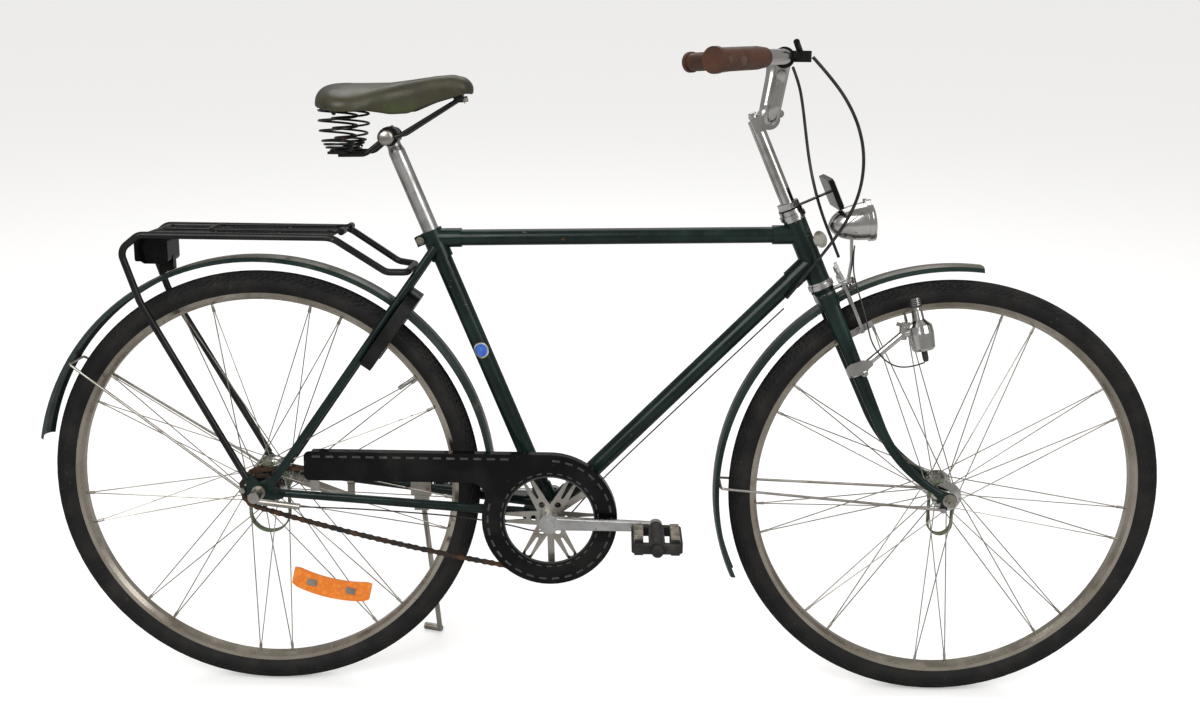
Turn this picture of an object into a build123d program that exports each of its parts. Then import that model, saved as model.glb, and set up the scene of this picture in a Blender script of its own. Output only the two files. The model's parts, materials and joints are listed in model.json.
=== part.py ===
from build123d import *
import os
from math import acos, atan2, cos, degrees, hypot, pi, radians, sin, sqrt, tan

# City bicycle leaning on its side stand. Millimetres and degrees.
# The bicycle is drawn upright, with X forward, Y to its left and Z up, and the
# rear wheel touching the ground at the origin. At the end it is leaned over.

# Driving sizes of the whole machine
WHEELBASE = 1104.0
LEAN_ANGLE = 7.0
FOOT_SPREAD = 152.0

# Wheels
WHEEL_RADIUS = 348.5
TYRE_HALF_WIDTH = 18.5
TYRE_FACETS = 7
TYRE_HEIGHT = 31.5
RIM_DEPTH = 14.0
RIM_OUTER_RADIUS = WHEEL_RADIUS - TYRE_HEIGHT
RIM_INNER_RADIUS = RIM_OUTER_RADIUS - RIM_DEPTH
RIM_HALF_WIDTH = 12.5
RIM_WALL = 2.0
SPOKE_COUNT = 36
SPOKE_RADIUS = 0.9
SPOKE_SIDES = 6
SPOKE_SPREAD = 3.2
AXLE_RADIUS = 4.95
RUNNING_CLEARANCE = 0.05
FRONT_FLANGE_RADIUS = 24.0
FRONT_FLANGE_OFFSET = 33.0
FRONT_HUB_RADIUS = 14.0
REAR_FLANGE_RADIUS = 34.0
REAR_FLANGE_OFFSET = 29.0
REAR_HUB_RADIUS = 27.0
FLANGE_THICKNESS = 3.0
FLANGE_FOOT = 1.5

# Frame
BRACKET_X = 465.0
BRACKET_Z = 306.0
BRACKET_SHELL_RADIUS = 20.0
BRACKET_HALF_WIDTH = 34.0
BRACKET_BORE_RADIUS = 17.0
SEAT_ANGLE = 67.3
SEAT_TUBE_LENGTH = 497.0
SEAT_TUBE_RADIUS = 14.3
MAIN_TUBE_WALL = 1.2
TOP_TUBE_RADIUS = 12.7
TOP_TUBE_DROP = 13.0
TOP_TUBE_HEAD_HEIGHT = 80.0
DOWN_TUBE_RADIUS = 14.3
DOWN_TUBE_HEAD_HEIGHT = 34.0
LUG_WALL = 2.4
LUG_REACH = 44.0
SOCKET_START = 25.0
SOCKET_FIT = 0.05
REAR_DROPOUT_SPACING = 120.0
DROPOUT_THICKNESS = 5.0
CHAIN_STAY_FRONT_OFFSET = 26.0
CHAIN_STAY_HEIGHT = 17.0
CHAIN_STAY_WIDTH = 12.0
SEAT_STAY_RADIUS = 6.5

# Steering
HEAD_ANGLE = 66.0
HEAD_TUBE_LENGTH = 105.0
HEAD_TUBE_RADIUS = 17.5
HEAD_TUBE_BORE = 15.0
FORK_OFFSET = 58.0
FORK_LENGTH = 402.0
STEERER_RADIUS = 12.7
STEERER_BORE = 11.2
CUP_RADIUS = 20.5
CUP_HEIGHT = 11.0
BEARING_GAP = 0.3
FORK_HALF_WIDTH = 36.0
FRONT_DROPOUT_SPACING = 100.0
QUILL_RADIUS = 11.1
CLAMP_REACH = 20.0
BAR_RADIUS = 11.1
GRIP_RADIUS = 16.0
GRIP_LENGTH = 126.0

# Transmission
CHAIN_LINE = 46.0
CHAIN_PITCH = 12.7
CHAINWHEEL_TEETH = 46
SPROCKET_TEETH = 16
CHAIN_HALF_HEIGHT = 4.0
CHAIN_WIDTH = 7.0
CHAIN_SAG = 8.0
TOOTH_CLEARANCE = 0.6
CHAINWHEEL_THICKNESS = 3.0
SPIDER_ARMS = 6
SPINDLE_RADIUS = 8.5
CRANK_LENGTH = 170.0
CRANK_ROOT_OFFSET = 63.0
CRANK_THICKNESS = 14.0
CRANK_RISE = 8.0
PEDAL_LENGTH = 78.0
PEDAL_WIDTH = 92.0
PEDAL_HEIGHT = 24.0
PEDAL_AXLE_RADIUS = 6.0

# Covers
MUDGUARD_CLEARANCE = 25.5
MUDGUARD_RADIUS = WHEEL_RADIUS + MUDGUARD_CLEARANCE
MUDGUARD_HALF_WIDTH = 24.0
MUDGUARD_DEPTH = 9.0
MUDGUARD_SHEET = 1.4
FRONT_GUARD_FROM = 84.0
FRONT_GUARD_TO = 204.0
REAR_GUARD_FROM = -4.0
REAR_GUARD_TO = 169.0
STAY_RADIUS = 2.2
REAR_STAY_ANGLE = 147.0
FRONT_STAY_ANGLE = 179.0
CHAIN_GUARD_RING = 109.0
CHAIN_GUARD_HOLE = 72.0
CHAIN_GUARD_FACE = 56.5
CHAIN_GUARD_SHEET = 2.5
CHAIN_GUARD_REAR = 72.0
CHAIN_GUARD_LOW = 367.0
CHAIN_GUARD_TOP = 415.0

# Places worked out from the driving sizes
seat_lean = radians(90.0 - SEAT_ANGLE)
head_lean = radians(90.0 - HEAD_ANGLE)
bracket = Vector(BRACKET_X, 0, BRACKET_Z)
rear_axle_point = Vector(0, 0, WHEEL_RADIUS)
front_axle_point = Vector(WHEELBASE, 0, WHEEL_RADIUS)
seat_up = Vector(-sin(seat_lean), 0, cos(seat_lean))
steer_up = Vector(-sin(head_lean), 0, cos(head_lean))
steer_forward = Vector(cos(head_lean), 0, sin(head_lean))
lower_race = front_axle_point - steer_forward * FORK_OFFSET + steer_up * FORK_LENGTH
BASE = (Align.CENTER, Align.CENTER, Align.MIN)
SIDES = (-1, 1)


def steer(along, forward=0.0, side=0.0):
    """A point measured from the head tube's lower end along the steering axis."""
    return lower_race + steer_up * along + steer_forward * forward + Vector(0, side, 0)


def seat(along, forward=0.0, side=0.0):
    """A point measured from the bottom bracket along the seat tube."""
    across = Vector(cos(seat_lean), 0, sin(seat_lean))
    return bracket + seat_up * along + across * forward + Vector(0, side, 0)


def around(centre, radius, angle, side=0.0):
    """A point at a radius and an angle, in degrees up from forward, about a wheel."""
    turn = radians(angle)
    return centre + Vector(radius * cos(turn), side, radius * sin(turn))


def rod(start, end, radius):
    """A round bar between two points."""
    start, end = Vector(start), Vector(end)
    line = end - start
    return Plane(origin=start, z_dir=line) * Cylinder(radius, line.length, align=BASE)


def pipe(start, end, radius, wall):
    """A round tube between two points."""
    return rod(start, end, radius) - rod(start, end, radius - wall)


def taper(start, end, start_radius, end_radius):
    """A round bar whose radius changes from one end to the other."""
    start, end = Vector(start), Vector(end)
    line = end - start
    cone = Cone(start_radius, end_radius, line.length, align=BASE)
    return Plane(origin=start, z_dir=line) * cone


def bent_rod(points, bends, radius, bore=0.0):
    """A round bar or tube along straight runs joined by arcs."""
    path = FilletPolyline(*[Vector(p) for p in points], radius=bends)
    start = Plane(origin=path @ 0, z_dir=path % 0)
    section = Circle(radius)
    if bore:
        section -= Circle(bore)
    return sweep(start * section, path=path)


def spun(points, centre, side=1.0):
    """A ring spun about a wheel's axle from points of radius and side offset."""
    outline = make_face(Polyline(*[(r, y * side) for r, y in points], close=True))
    return Location(centre) * revolve(outline, axis=Axis.Y)


def plate(outline, centre, side_from, thickness):
    """A flat plate drawn as x and z about a centre, thickening to the right from a side offset."""
    plane = Plane(origin=centre + Vector(0, side_from, 0), x_dir=(1, 0, 0), z_dir=(0, -1, 0))
    return extrude(plane * outline, amount=thickness)


def joined(pieces):
    """One solid made of several that meet."""
    total = pieces[0]
    for piece in pieces[1:]:
        total += piece
    return total


def group(pieces):
    """Several solids kept apart in one sub-part."""
    solids = []
    for piece in pieces:
        solids.extend(piece.solids())
    return Compound(children=solids)


# Wheels

def tyre(centre):
    """A tyre with a faceted round section, seated in the rim."""
    half_step = radians(250.0 / TYRE_FACETS / 2)
    section_radius = TYRE_HALF_WIDTH / cos(half_step)
    section_centre = WHEEL_RADIUS - TYRE_HALF_WIDTH
    points = []
    for i in range(TYRE_FACETS + 1):
        turn = (2 * i - TYRE_FACETS) * half_step
        points.append((section_centre + section_radius * cos(turn), section_radius * sin(turn)))
    bead = RIM_HALF_WIDTH - RIM_WALL - SOCKET_FIT
    floor = RIM_OUTER_RADIUS - 6.0 + SOCKET_FIT
    lip = RIM_OUTER_RADIUS + SOCKET_FIT
    points += [(lip, bead), (floor, bead), (floor, -bead), (lip, -bead)]
    return spun(points, centre)


def rim(centre):
    """A box section rim with a channel for the tyre."""
    channel = RIM_HALF_WIDTH - RIM_WALL
    floor = RIM_OUTER_RADIUS - 6.0
    shoulder = RIM_INNER_RADIUS + 5.0
    half = [(floor, channel), (RIM_OUTER_RADIUS, channel), (RIM_OUTER_RADIUS, RIM_HALF_WIDTH)]
    half += [(shoulder, RIM_HALF_WIDTH), (RIM_INNER_RADIUS, RIM_HALF_WIDTH / 2)]
    points = half + [(r, -y) for r, y in reversed(half)]
    return spun(points, centre)


def spokes(centre, flange_radius, flange_offset):
    """Spokes laced three crosses from two flanges to the rim."""
    hole_radius = flange_radius - 3.5
    per_side = SPOKE_COUNT // 2
    cross = 3 * 360.0 / per_side
    pieces = []
    for side in SIDES:
        for i in range(per_side):
            lead = 1 if i % 2 else -1
            hub_angle = (i + side * 0.25) * 360.0 / per_side
            rim_angle = hub_angle + lead * (cross - 180.0 / per_side)
            hub_side = side * flange_offset + lead * SPOKE_SPREAD
            start = around(centre, hole_radius, hub_angle, hub_side)
            end = around(centre, RIM_INNER_RADIUS - SOCKET_FIT, rim_angle, side * 3.0)
            line = end - start
            bar = extrude(RegularPolygon(SPOKE_RADIUS, SPOKE_SIDES), amount=line.length)
            pieces.append(Plane(origin=start, z_dir=line) * bar)
    return group(pieces)


def hub_shell(centre, body_radius, flange_radius, flange_offset, end_offset):
    """A hub turned about its axle, with two drilled flanges."""
    bore = AXLE_RADIUS + RUNNING_CLEARANCE
    inner = flange_offset - FLANGE_THICKNESS / 2
    outer = flange_offset + FLANGE_THICKNESS / 2
    neck = body_radius * 0.7
    half = [(body_radius, inner - FLANGE_FOOT), (body_radius + FLANGE_FOOT, inner), (flange_radius, inner)]
    half += [(flange_radius, outer), (neck, outer + 1.5), (neck, end_offset), (bore, end_offset)]
    points = half + [(r, -y) for r, y in reversed(half)]
    return spun(points, centre)


def hub_strap(centre, hub_radius):
    """A loose leather loop that hangs on the hub and rubs it clean."""
    thickness = 2.5
    drop = 52.0
    inner = hub_radius + 4.0
    low = hub_radius + 0.3 - inner
    path = SlotCenterToCenter(drop, 2 * (inner + thickness), rotation=90)
    path -= SlotCenterToCenter(drop, 2 * inner, rotation=90)
    return plate(Pos(0, low - drop / 2) * path, centre, 6.0, 12.0)


# Frame

def tube_socket(start, towards, radius):
    """A lug's sleeve and the socket cut in it for one tube."""
    sleeve = rod(start, start + towards * LUG_REACH, radius + LUG_WALL)
    socket = rod(start + towards * SOCKET_START, start + towards * (LUG_REACH + 5), radius + SOCKET_FIT)
    return sleeve, socket


top_tube_front = steer(TOP_TUBE_HEAD_HEIGHT)
top_tube_rear = seat(SEAT_TUBE_LENGTH - TOP_TUBE_DROP)
top_tube_dir = (top_tube_front - top_tube_rear).normalized()
down_tube_front = steer(DOWN_TUBE_HEAD_HEIGHT)
down_tube_dir = (down_tube_front - bracket).normalized()


def head_tube():
    """Head tube with two brazed lugs and the pressed bearing cups."""
    body = rod(steer(0), steer(HEAD_TUBE_LENGTH), HEAD_TUBE_RADIUS)
    sockets = []
    for point, towards, radius in (
        (top_tube_front, -top_tube_dir, TOP_TUBE_RADIUS),
        (down_tube_front, -down_tube_dir, DOWN_TUBE_RADIUS),
    ):
        sleeve, socket = tube_socket(point, towards, radius)
        body += sleeve
        sockets.append(socket)
    body -= rod(steer(-1), steer(HEAD_TUBE_LENGTH + 1), HEAD_TUBE_BORE)
    for socket in sockets:
        body -= socket
    return body


def headset_cups():
    """The two pressed bearing cups that carry the steerer."""
    cups = []
    bore = STEERER_RADIUS + RUNNING_CLEARANCE
    for foot, up in ((0.0, -1), (HEAD_TUBE_LENGTH, 1)):
        far = foot + up * CUP_HEIGHT
        cup = rod(steer(foot), steer(foot + up * 4.0), CUP_RADIUS - 2.5)
        cup += rod(steer(foot + up * 4.0), steer(far), CUP_RADIUS)
        cup += rod(steer(foot - up * 8.0), steer(foot), HEAD_TUBE_BORE - SOCKET_FIT)
        cup -= rod(steer(foot - up * 20.0), steer(far + up), bore)
        cups.append(cup)
    return group(cups)


def top_tube():
    start = top_tube_rear + top_tube_dir * (SOCKET_START + SOCKET_FIT)
    end = top_tube_front - top_tube_dir * (SOCKET_START + SOCKET_FIT)
    return pipe(start, end, TOP_TUBE_RADIUS, MAIN_TUBE_WALL)


def down_tube():
    start = bracket + down_tube_dir * (SOCKET_START + SOCKET_FIT)
    end = down_tube_front - down_tube_dir * (SOCKET_START + SOCKET_FIT)
    return pipe(start, end, DOWN_TUBE_RADIUS, MAIN_TUBE_WALL)


SEAT_LUG_RADIUS = SEAT_TUBE_RADIUS + LUG_WALL + 0.8
SEAT_LUG_HEIGHT = 48.0


def seat_tube():
    """Seat tube brazed into the lug that takes the top tube and clamps the seat post."""
    top = seat(SEAT_TUBE_LENGTH)
    body = rod(seat(SOCKET_START + SOCKET_FIT), top, SEAT_TUBE_RADIUS)
    body += rod(seat(SEAT_TUBE_LENGTH - SEAT_LUG_HEIGHT), top, SEAT_LUG_RADIUS)
    sleeve, socket = tube_socket(top_tube_rear, top_tube_dir, TOP_TUBE_RADIUS)
    body += sleeve
    behind = seat(SEAT_TUBE_LENGTH - 9.0, -SEAT_LUG_RADIUS - 3.0)
    ears = Plane(origin=behind, x_dir=(cos(seat_lean), 0, sin(seat_lean)), z_dir=seat_up)
    body += ears * Box(14.0, 22.0, 16.0)
    body -= socket
    body -= ears * (Pos(2.0, 0, 2.0) * Box(20.0, 2.4, 24.0))
    return body - rod(seat(0), seat(SEAT_TUBE_LENGTH + 10.0), SEAT_TUBE_RADIUS - MAIN_TUBE_WALL)


stay_rear_y = REAR_DROPOUT_SPACING / 2
chain_stay_slope = (WHEEL_RADIUS - BRACKET_Z) / BRACKET_X


def chain_stay_point(side, x):
    """The middle of a chain stay at a distance in front of the rear axle."""
    share = (BRACKET_X - x) / BRACKET_X
    y = CHAIN_STAY_FRONT_OFFSET + (stay_rear_y - CHAIN_STAY_FRONT_OFFSET) * share
    return Vector(x, side * y, WHEEL_RADIUS - chain_stay_slope * x)


def bottom_bracket():
    """Bracket shell with sockets for the tubes and the bearing cups at each end."""
    wide = Vector(0, BRACKET_HALF_WIDTH, 0)
    body = rod(bracket - wide, bracket + wide, BRACKET_SHELL_RADIUS)
    sockets = []
    for towards, radius in ((seat_up, SEAT_TUBE_RADIUS), (down_tube_dir, DOWN_TUBE_RADIUS)):
        sleeve, socket = tube_socket(bracket, towards, radius)
        body += sleeve
        sockets.append(socket)
    for side in SIDES:
        start, end = chain_stay_point(side, BRACKET_X), chain_stay_point(side, BRACKET_X - LUG_REACH)
        across = Plane(origin=start, x_dir=(0, 1, 0), z_dir=end - start)
        half_width, half_height = CHAIN_STAY_WIDTH / 2, CHAIN_STAY_HEIGHT / 2
        sleeve = extrude(Ellipse(half_width + LUG_WALL, half_height + LUG_WALL), LUG_REACH)
        socket = extrude(Ellipse(half_width + SOCKET_FIT, half_height + SOCKET_FIT), LUG_REACH)
        body += across * sleeve
        sockets.append(across * (Pos(0, 0, SOCKET_START) * socket))
    keep = Location(bracket) * Box(200.0, 2 * BRACKET_HALF_WIDTH, 200.0)
    body &= keep
    for socket in sockets:
        body -= socket
    body -= rod(bracket - wide * 2, bracket + wide * 2, SPINDLE_RADIUS + RUNNING_CLEARANCE)
    inner = Vector(0, BRACKET_HALF_WIDTH - 14.0, 0)
    return body - rod(bracket - inner, bracket + inner, BRACKET_BORE_RADIUS)


SEAT_STAY_LOW = rear_axle_point + Vector(26.0, 0, 21.5)
SEAT_STAY_TOP = seat(SEAT_TUBE_LENGTH - 25.5)
CHAIN_STAY_END = 34.0
RACK_EYE = rear_axle_point + Vector(-17.0, 0, 25.5)
GUARD_EYE = rear_axle_point + Vector(-24.0, 0, 3.5)


def seat_stay_point(side, share):
    """A point on a seat stay's middle line, from its lower end at 0 to its top at 1."""
    spread = SEAT_LUG_RADIUS + SEAT_STAY_RADIUS + 0.3
    low = SEAT_STAY_LOW + Vector(0, side * (stay_rear_y + DROPOUT_THICKNESS / 2), 0)
    top = SEAT_STAY_TOP + Vector(0, side * spread, 0)
    return low + (top - low) * share


def dropout_plate(side):
    """The slotted plate that holds one end of the rear axle."""
    centre = Vector(0, 0, WHEEL_RADIUS)
    to_chain = Vector(CHAIN_STAY_END, 0, WHEEL_RADIUS - chain_stay_slope * CHAIN_STAY_END) - centre
    to_seat = SEAT_STAY_LOW - centre
    to_rack, to_guard = RACK_EYE - centre, GUARD_EYE - centre
    outline = make_hull((Circle(16.0).edges() + (Pos(to_chain.X, to_chain.Z) * Circle(8.0)).edges()))
    outline += make_hull((Circle(14.0).edges() + (Pos(to_seat.X, to_seat.Z) * Circle(6.0)).edges()))
    outline += make_hull((Circle(12.0).edges() + (Pos(to_rack.X, to_rack.Z) * Circle(6.0)).edges()))
    outline += make_hull((Circle(12.0).edges() + (Pos(to_guard.X, to_guard.Z) * Circle(5.0)).edges()))
    slot_half = AXLE_RADIUS + RUNNING_CLEARANCE
    outline -= Circle(slot_half) + Pos(-1.0, -20.0) * Rectangle(2 * slot_half - 1.0, 40.0)
    return plate(outline, centre, side * (stay_rear_y + DROPOUT_THICKNESS * (side > 0)), DROPOUT_THICKNESS)


def chain_stays():
    """Both oval chain stays with their bridge and the rear dropouts."""
    pieces = []
    for side in SIDES:
        start = chain_stay_point(side, BRACKET_X - SOCKET_START - SOCKET_FIT)
        end = chain_stay_point(side, CHAIN_STAY_END)
        line = end - start
        first = Plane(origin=start, x_dir=(0, 1, 0), z_dir=line)
        last = Plane(origin=end, x_dir=(0, 1, 0), z_dir=line)
        front = first * Ellipse(CHAIN_STAY_WIDTH / 2, CHAIN_STAY_HEIGHT / 2)
        rear = last * Ellipse(CHAIN_STAY_WIDTH / 2, CHAIN_STAY_WIDTH / 2 + 0.5)
        pieces.append(loft([front, rear]))
        pieces.append(dropout_plate(side))
    bridge_x = MUDGUARD_RADIUS + 9.0
    left, right = chain_stay_point(1, bridge_x), chain_stay_point(-1, bridge_x)
    pieces.append(rod(left, right, 5.0))
    return joined(pieces)


def seat_stays():
    """Both seat stays with the bridge that the mudguard hangs from."""
    pieces = [rod(seat_stay_point(side, 0.0), seat_stay_point(side, 1.0), SEAT_STAY_RADIUS) for side in SIDES]
    share = 0.6
    while (seat_stay_point(0, share) - rear_axle_point).length < MUDGUARD_RADIUS + 4.3:
        share += 0.002
    pieces.append(rod(seat_stay_point(1, share), seat_stay_point(-1, share), 4.0))
    stays = joined(pieces)
    for side in SIDES:
        stays -= dropout_plate(side)
    return stays


def seat_post():
    """Alloy post with a reduced top for the saddle clamp."""
    radius = SEAT_TUBE_RADIUS - MAIN_TUBE_WALL - SOCKET_FIT
    body = rod(seat(SEAT_TUBE_LENGTH - 110.0), seat(SEAT_TUBE_LENGTH + 132.0), radius)
    return body + taper(seat(SEAT_TUBE_LENGTH + 132.0), seat(SEAT_TUBE_LENGTH + 140.0), radius, 11.0) \
        + rod(seat(SEAT_TUBE_LENGTH + 140.0), seat(SEAT_TUBE_LENGTH + 172.0), 11.0)


# Covers

def guard_sheet(centre, start, end):
    """A crowned mudguard over part of a wheel."""
    middle, edge = MUDGUARD_HALF_WIDTH * 0.36, MUDGUARD_HALF_WIDTH * 0.74
    outer = [(0.0, middle), (2.6, edge), (MUDGUARD_DEPTH, MUDGUARD_HALF_WIDTH)]
    inner = [(MUDGUARD_DEPTH, MUDGUARD_HALF_WIDTH - MUDGUARD_SHEET)]
    inner += [(2.6 + MUDGUARD_SHEET * 0.9, edge - MUDGUARD_SHEET * 0.7), (MUDGUARD_SHEET, middle - 0.4)]
    half = [(MUDGUARD_RADIUS - depth, y) for depth, y in outer + inner]
    count = len(outer)
    points = half[:count] + half[count:] + [(r, -y) for r, y in reversed(half[count:])]
    points += [(r, -y) for r, y in reversed(half[:count])]
    outline = make_face(Polyline(*points, close=True))
    band = revolve(outline, axis=Axis.Y, revolution_arc=end - start)
    return Location(centre) * Rot(0, -end, 0) * band


def guard_stay(centre, angle, eye, face):
    """A wire stay bolted to both dropouts, crossing under the mudguard's edges."""
    side = face + STAY_RADIUS + 1.5
    radius = MUDGUARD_RADIUS - MUDGUARD_DEPTH - STAY_RADIUS - 0.3
    half = [Vector(eye.X, side, eye.Z), around(centre, radius, angle, MUDGUARD_HALF_WIDTH + 6.0)]
    points = half + [Vector(p.X, -p.Y, p.Z) for p in reversed(half)]
    stay = bent_rod(points, [6.0, 6.0], STAY_RADIUS)
    for sign in SIDES:
        seat_at = Vector(eye.X, sign * (face + 0.3), eye.Z)
        stay += rod(seat_at, seat_at + Vector(0, sign * (2 * STAY_RADIUS + 3.0), 0), 4.0)
    return stay


def chain_guard():
    """Moulded guard with a ring round the chainwheel and a band over the chain."""
    length = BRACKET_X - CHAIN_GUARD_REAR
    middle = (CHAIN_GUARD_LOW + CHAIN_GUARD_TOP) / 2 - BRACKET_Z
    band = Pos(-length / 2, middle) * Rectangle(length, CHAIN_GUARD_TOP - CHAIN_GUARD_LOW)
    outline = Circle(CHAIN_GUARD_RING) + band
    low = CHAIN_GUARD_LOW - BRACKET_Z
    corner_x = -sqrt(CHAIN_GUARD_RING ** 2 - low ** 2)
    corners = sorted(outline.vertices(), key=lambda v: hypot(v.X - corner_x, v.Y - low))
    outline = fillet(corners[:1], 24.0)
    tail = sorted(outline.vertices(), key=lambda v: v.X)[:2]
    outline = fillet(tail, 9.0)
    outline -= Circle(CHAIN_GUARD_HOLE)
    sheet = plate(outline, bracket, -CHAIN_GUARD_FACE + CHAIN_GUARD_SHEET, CHAIN_GUARD_SHEET)
    lip = Circle(CHAIN_GUARD_RING) - Circle(CHAIN_GUARD_RING - CHAIN_GUARD_SHEET)
    lip &= Pos(CHAIN_GUARD_RING, 0) * Rectangle(2 * CHAIN_GUARD_RING, 2 * CHAIN_GUARD_RING)
    lip += Pos(-length / 2 + 6.0, CHAIN_GUARD_TOP - BRACKET_Z - CHAIN_GUARD_SHEET / 2) \
        * Rectangle(length - 12.0, CHAIN_GUARD_SHEET)
    depth = CHAIN_GUARD_FACE - 40.0
    return sheet + plate(lip, bracket, -40.0, depth)


GUARD_CLIP_X = 88.0
GUARD_CLIP_LENGTH = 14.0
GUARD_CLIP_OVERLAP = 19.0


def chain_guard_brackets():
    """Straps that hold the guard to the bracket shell and to the chain stay."""
    reach = CHAIN_GUARD_RING - CHAIN_GUARD_SHEET - 0.3
    strap = Circle(24.0)
    strap += Rot(0, 0, -88.0) * Pos(reach / 2, 0) * Rectangle(reach, 11.0)
    strap += Rot(0, 0, 35.0) * Pos(reach / 2, 0) * Rectangle(reach, 11.0)
    strap -= Circle(SPINDLE_RADIUS + 2.0)
    face = -BRACKET_HALF_WIDTH
    body = plate(strap, bracket, face, 2.5)
    tabs = Rot(0, 0, -88.0) * Pos(reach - 1.5, 0) * Rectangle(3.0, 11.0)
    tabs += Rot(0, 0, 35.0) * Pos(reach - 1.5, 0) * Rectangle(3.0, 11.0)
    body += plate(tabs, bracket, face, 12.0)
    at = chain_stay_point(-1, GUARD_CLIP_X)
    clip_low = chain_stay_point(-1, GUARD_CLIP_X - GUARD_CLIP_LENGTH / 2).Z + CHAIN_STAY_HEIGHT / 2 - 1.2
    clip = Box(GUARD_CLIP_LENGTH, 2.0, CHAIN_GUARD_LOW + GUARD_CLIP_OVERLAP - clip_low, align=BASE)
    clip = Pos(at.X, -CHAIN_GUARD_FACE + CHAIN_GUARD_SHEET + 1.0, clip_low) * clip
    return group([body, clip])


# Transmission

def pitch_radius(teeth):
    return CHAIN_PITCH / (2 * sin(pi / teeth))


def chain_route():
    """Evenly spaced joints of the chain, as x and z about the two axles."""
    big, small = pitch_radius(CHAINWHEEL_TEETH), pitch_radius(SPROCKET_TEETH)
    run = bracket - rear_axle_point
    distance = run.length
    slope = degrees(atan2(run.Z, run.X))
    spread = degrees(acos((big - small) / distance))
    path = []
    for i in range(41):
        turn = slope + (180 - spread) - 2 * (180 - spread) * i / 40
        path.append(around(bracket, big, turn))
    low_front = path[-1]
    low_rear = around(rear_axle_point, small, slope - 180 + spread)
    for i in range(1, 20):
        share = i / 20
        sag = Vector(0, 0, -4 * CHAIN_SAG * share * (1 - share))
        path.append(low_front + (low_rear - low_front) * share + sag)
    for i in range(17):
        turn = slope - 180 + spread - 2 * spread * i / 16
        path.append(around(rear_axle_point, small, turn))
    path.append(path[0])
    lengths = [0.0]
    for a, b in zip(path, path[1:]):
        lengths.append(lengths[-1] + (b - a).length)
    count = 2 * round(lengths[-1] / CHAIN_PITCH / 2)
    joints = []
    leg = 0
    for i in range(count):
        target = lengths[-1] * i / count
        while lengths[leg + 1] < target:
            leg += 1
        share = (target - lengths[leg]) / (lengths[leg + 1] - lengths[leg])
        joints.append(path[leg] + (path[leg + 1] - path[leg]) * share)
    return joints


def chain():
    """The chain as one loop, waisted between its joints like its link plates."""
    joints = chain_route()
    count = len(joints)
    outer, inner = [], []
    for i, joint in enumerate(joints):
        ahead, behind = joints[(i + 1) % count], joints[i - 1]
        along = (ahead - behind).normalized()
        out = Vector(-along.Z, 0, along.X)
        middle = (joint + ahead) / 2
        out_next = Vector(-(ahead - joint).Z, 0, (ahead - joint).X).normalized()
        for loop, sign in ((outer, 1), (inner, -1)):
            for point, normal, reach in (
                (joint, out, CHAIN_HALF_HEIGHT),
                (middle, out_next, CHAIN_HALF_HEIGHT - 1.0),
            ):
                at = point + normal * reach * sign - bracket
                loop.append((at.X, at.Z))
    outline = make_face(Polyline(*outer, close=True)) - make_face(Polyline(*inner, close=True))
    return plate(outline, bracket, -CHAIN_LINE + CHAIN_WIDTH / 2, CHAIN_WIDTH)


def toothed_disc(teeth, thickness):
    """A toothed ring whose points stay just inside the fixed chain."""
    tip = pitch_radius(teeth) - CHAIN_HALF_HEIGHT - TOOTH_CLEARANCE
    root = tip - 4.0
    points = []
    for i in range(teeth):
        for offset, radius in ((-0.3, root), (-0.1, tip), (0.1, tip), (0.3, root)):
            turn = 2 * pi * (i + offset) / teeth
            points.append((radius * cos(turn), radius * sin(turn)))
    return make_face(Polyline(*points, close=True)), root


def chainwheel():
    """Chainwheel with six pierced arms on a central boss."""
    disc, root = toothed_disc(CHAINWHEEL_TEETH, CHAINWHEEL_THICKNESS)
    rim_inner = root - 9.0
    disc -= Circle(rim_inner)
    for i in range(SPIDER_ARMS):
        arm = make_hull((Circle(13.0).edges() + (Pos(rim_inner + 2.0, 0) * Circle(8.0)).edges()))
        arm -= Pos(26.0, 0) * Circle(5.0)
        slot_ends = (Pos(40.0, 0) * Circle(2.0)).edges() + (Pos(rim_inner - 6.0, 0) * Circle(4.5)).edges()
        arm -= make_hull(slot_ends)
        disc += Rot(0, 0, 60.0 * i) * arm
    disc += Circle(19.0)
    disc -= Circle(SPINDLE_RADIUS + SOCKET_FIT)
    face = -CHAIN_LINE + CHAINWHEEL_THICKNESS / 2
    wheel = plate(disc, bracket, face, CHAINWHEEL_THICKNESS)
    boss = Circle(16.0) - Circle(SPINDLE_RADIUS + SOCKET_FIT)
    back = face - CHAINWHEEL_THICKNESS
    return wheel + plate(boss, bracket, back, CRANK_ROOT_OFFSET + back)


def crank_end(side):
    """The middle of a pedal axle where it leaves its crank."""
    forward = -side
    y = side * (CRANK_ROOT_OFFSET + CRANK_THICKNESS / 2 + CRANK_RISE)
    return bracket + Vector(forward * CRANK_LENGTH, y, 0)


def crank_arm(side):
    """A forged crank that thins towards the pedal."""
    root = bracket + Vector(0, side * (CRANK_ROOT_OFFSET + CRANK_THICKNESS / 2), 0)
    end = crank_end(side)
    line = end - root
    first = Plane(origin=root, x_dir=(0, 0, 1), z_dir=line)
    last = Plane(origin=end, x_dir=(0, 0, 1), z_dir=line)
    root_section = first * RectangleRounded(22.0, CRANK_THICKNESS - 1, 4.0)
    arm = loft([root_section, last * RectangleRounded(16.0, 10.0, 3.0)])
    half = Vector(0, CRANK_THICKNESS / 2, 0)
    arm += rod(root - half, root + half, 16.0)
    tip = Vector(0, 6.5, 0)
    arm += rod(end - tip, end + tip, 11.0)
    return arm - rod(root - half * 3, root + half * 3, SPINDLE_RADIUS + SOCKET_FIT)


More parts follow.
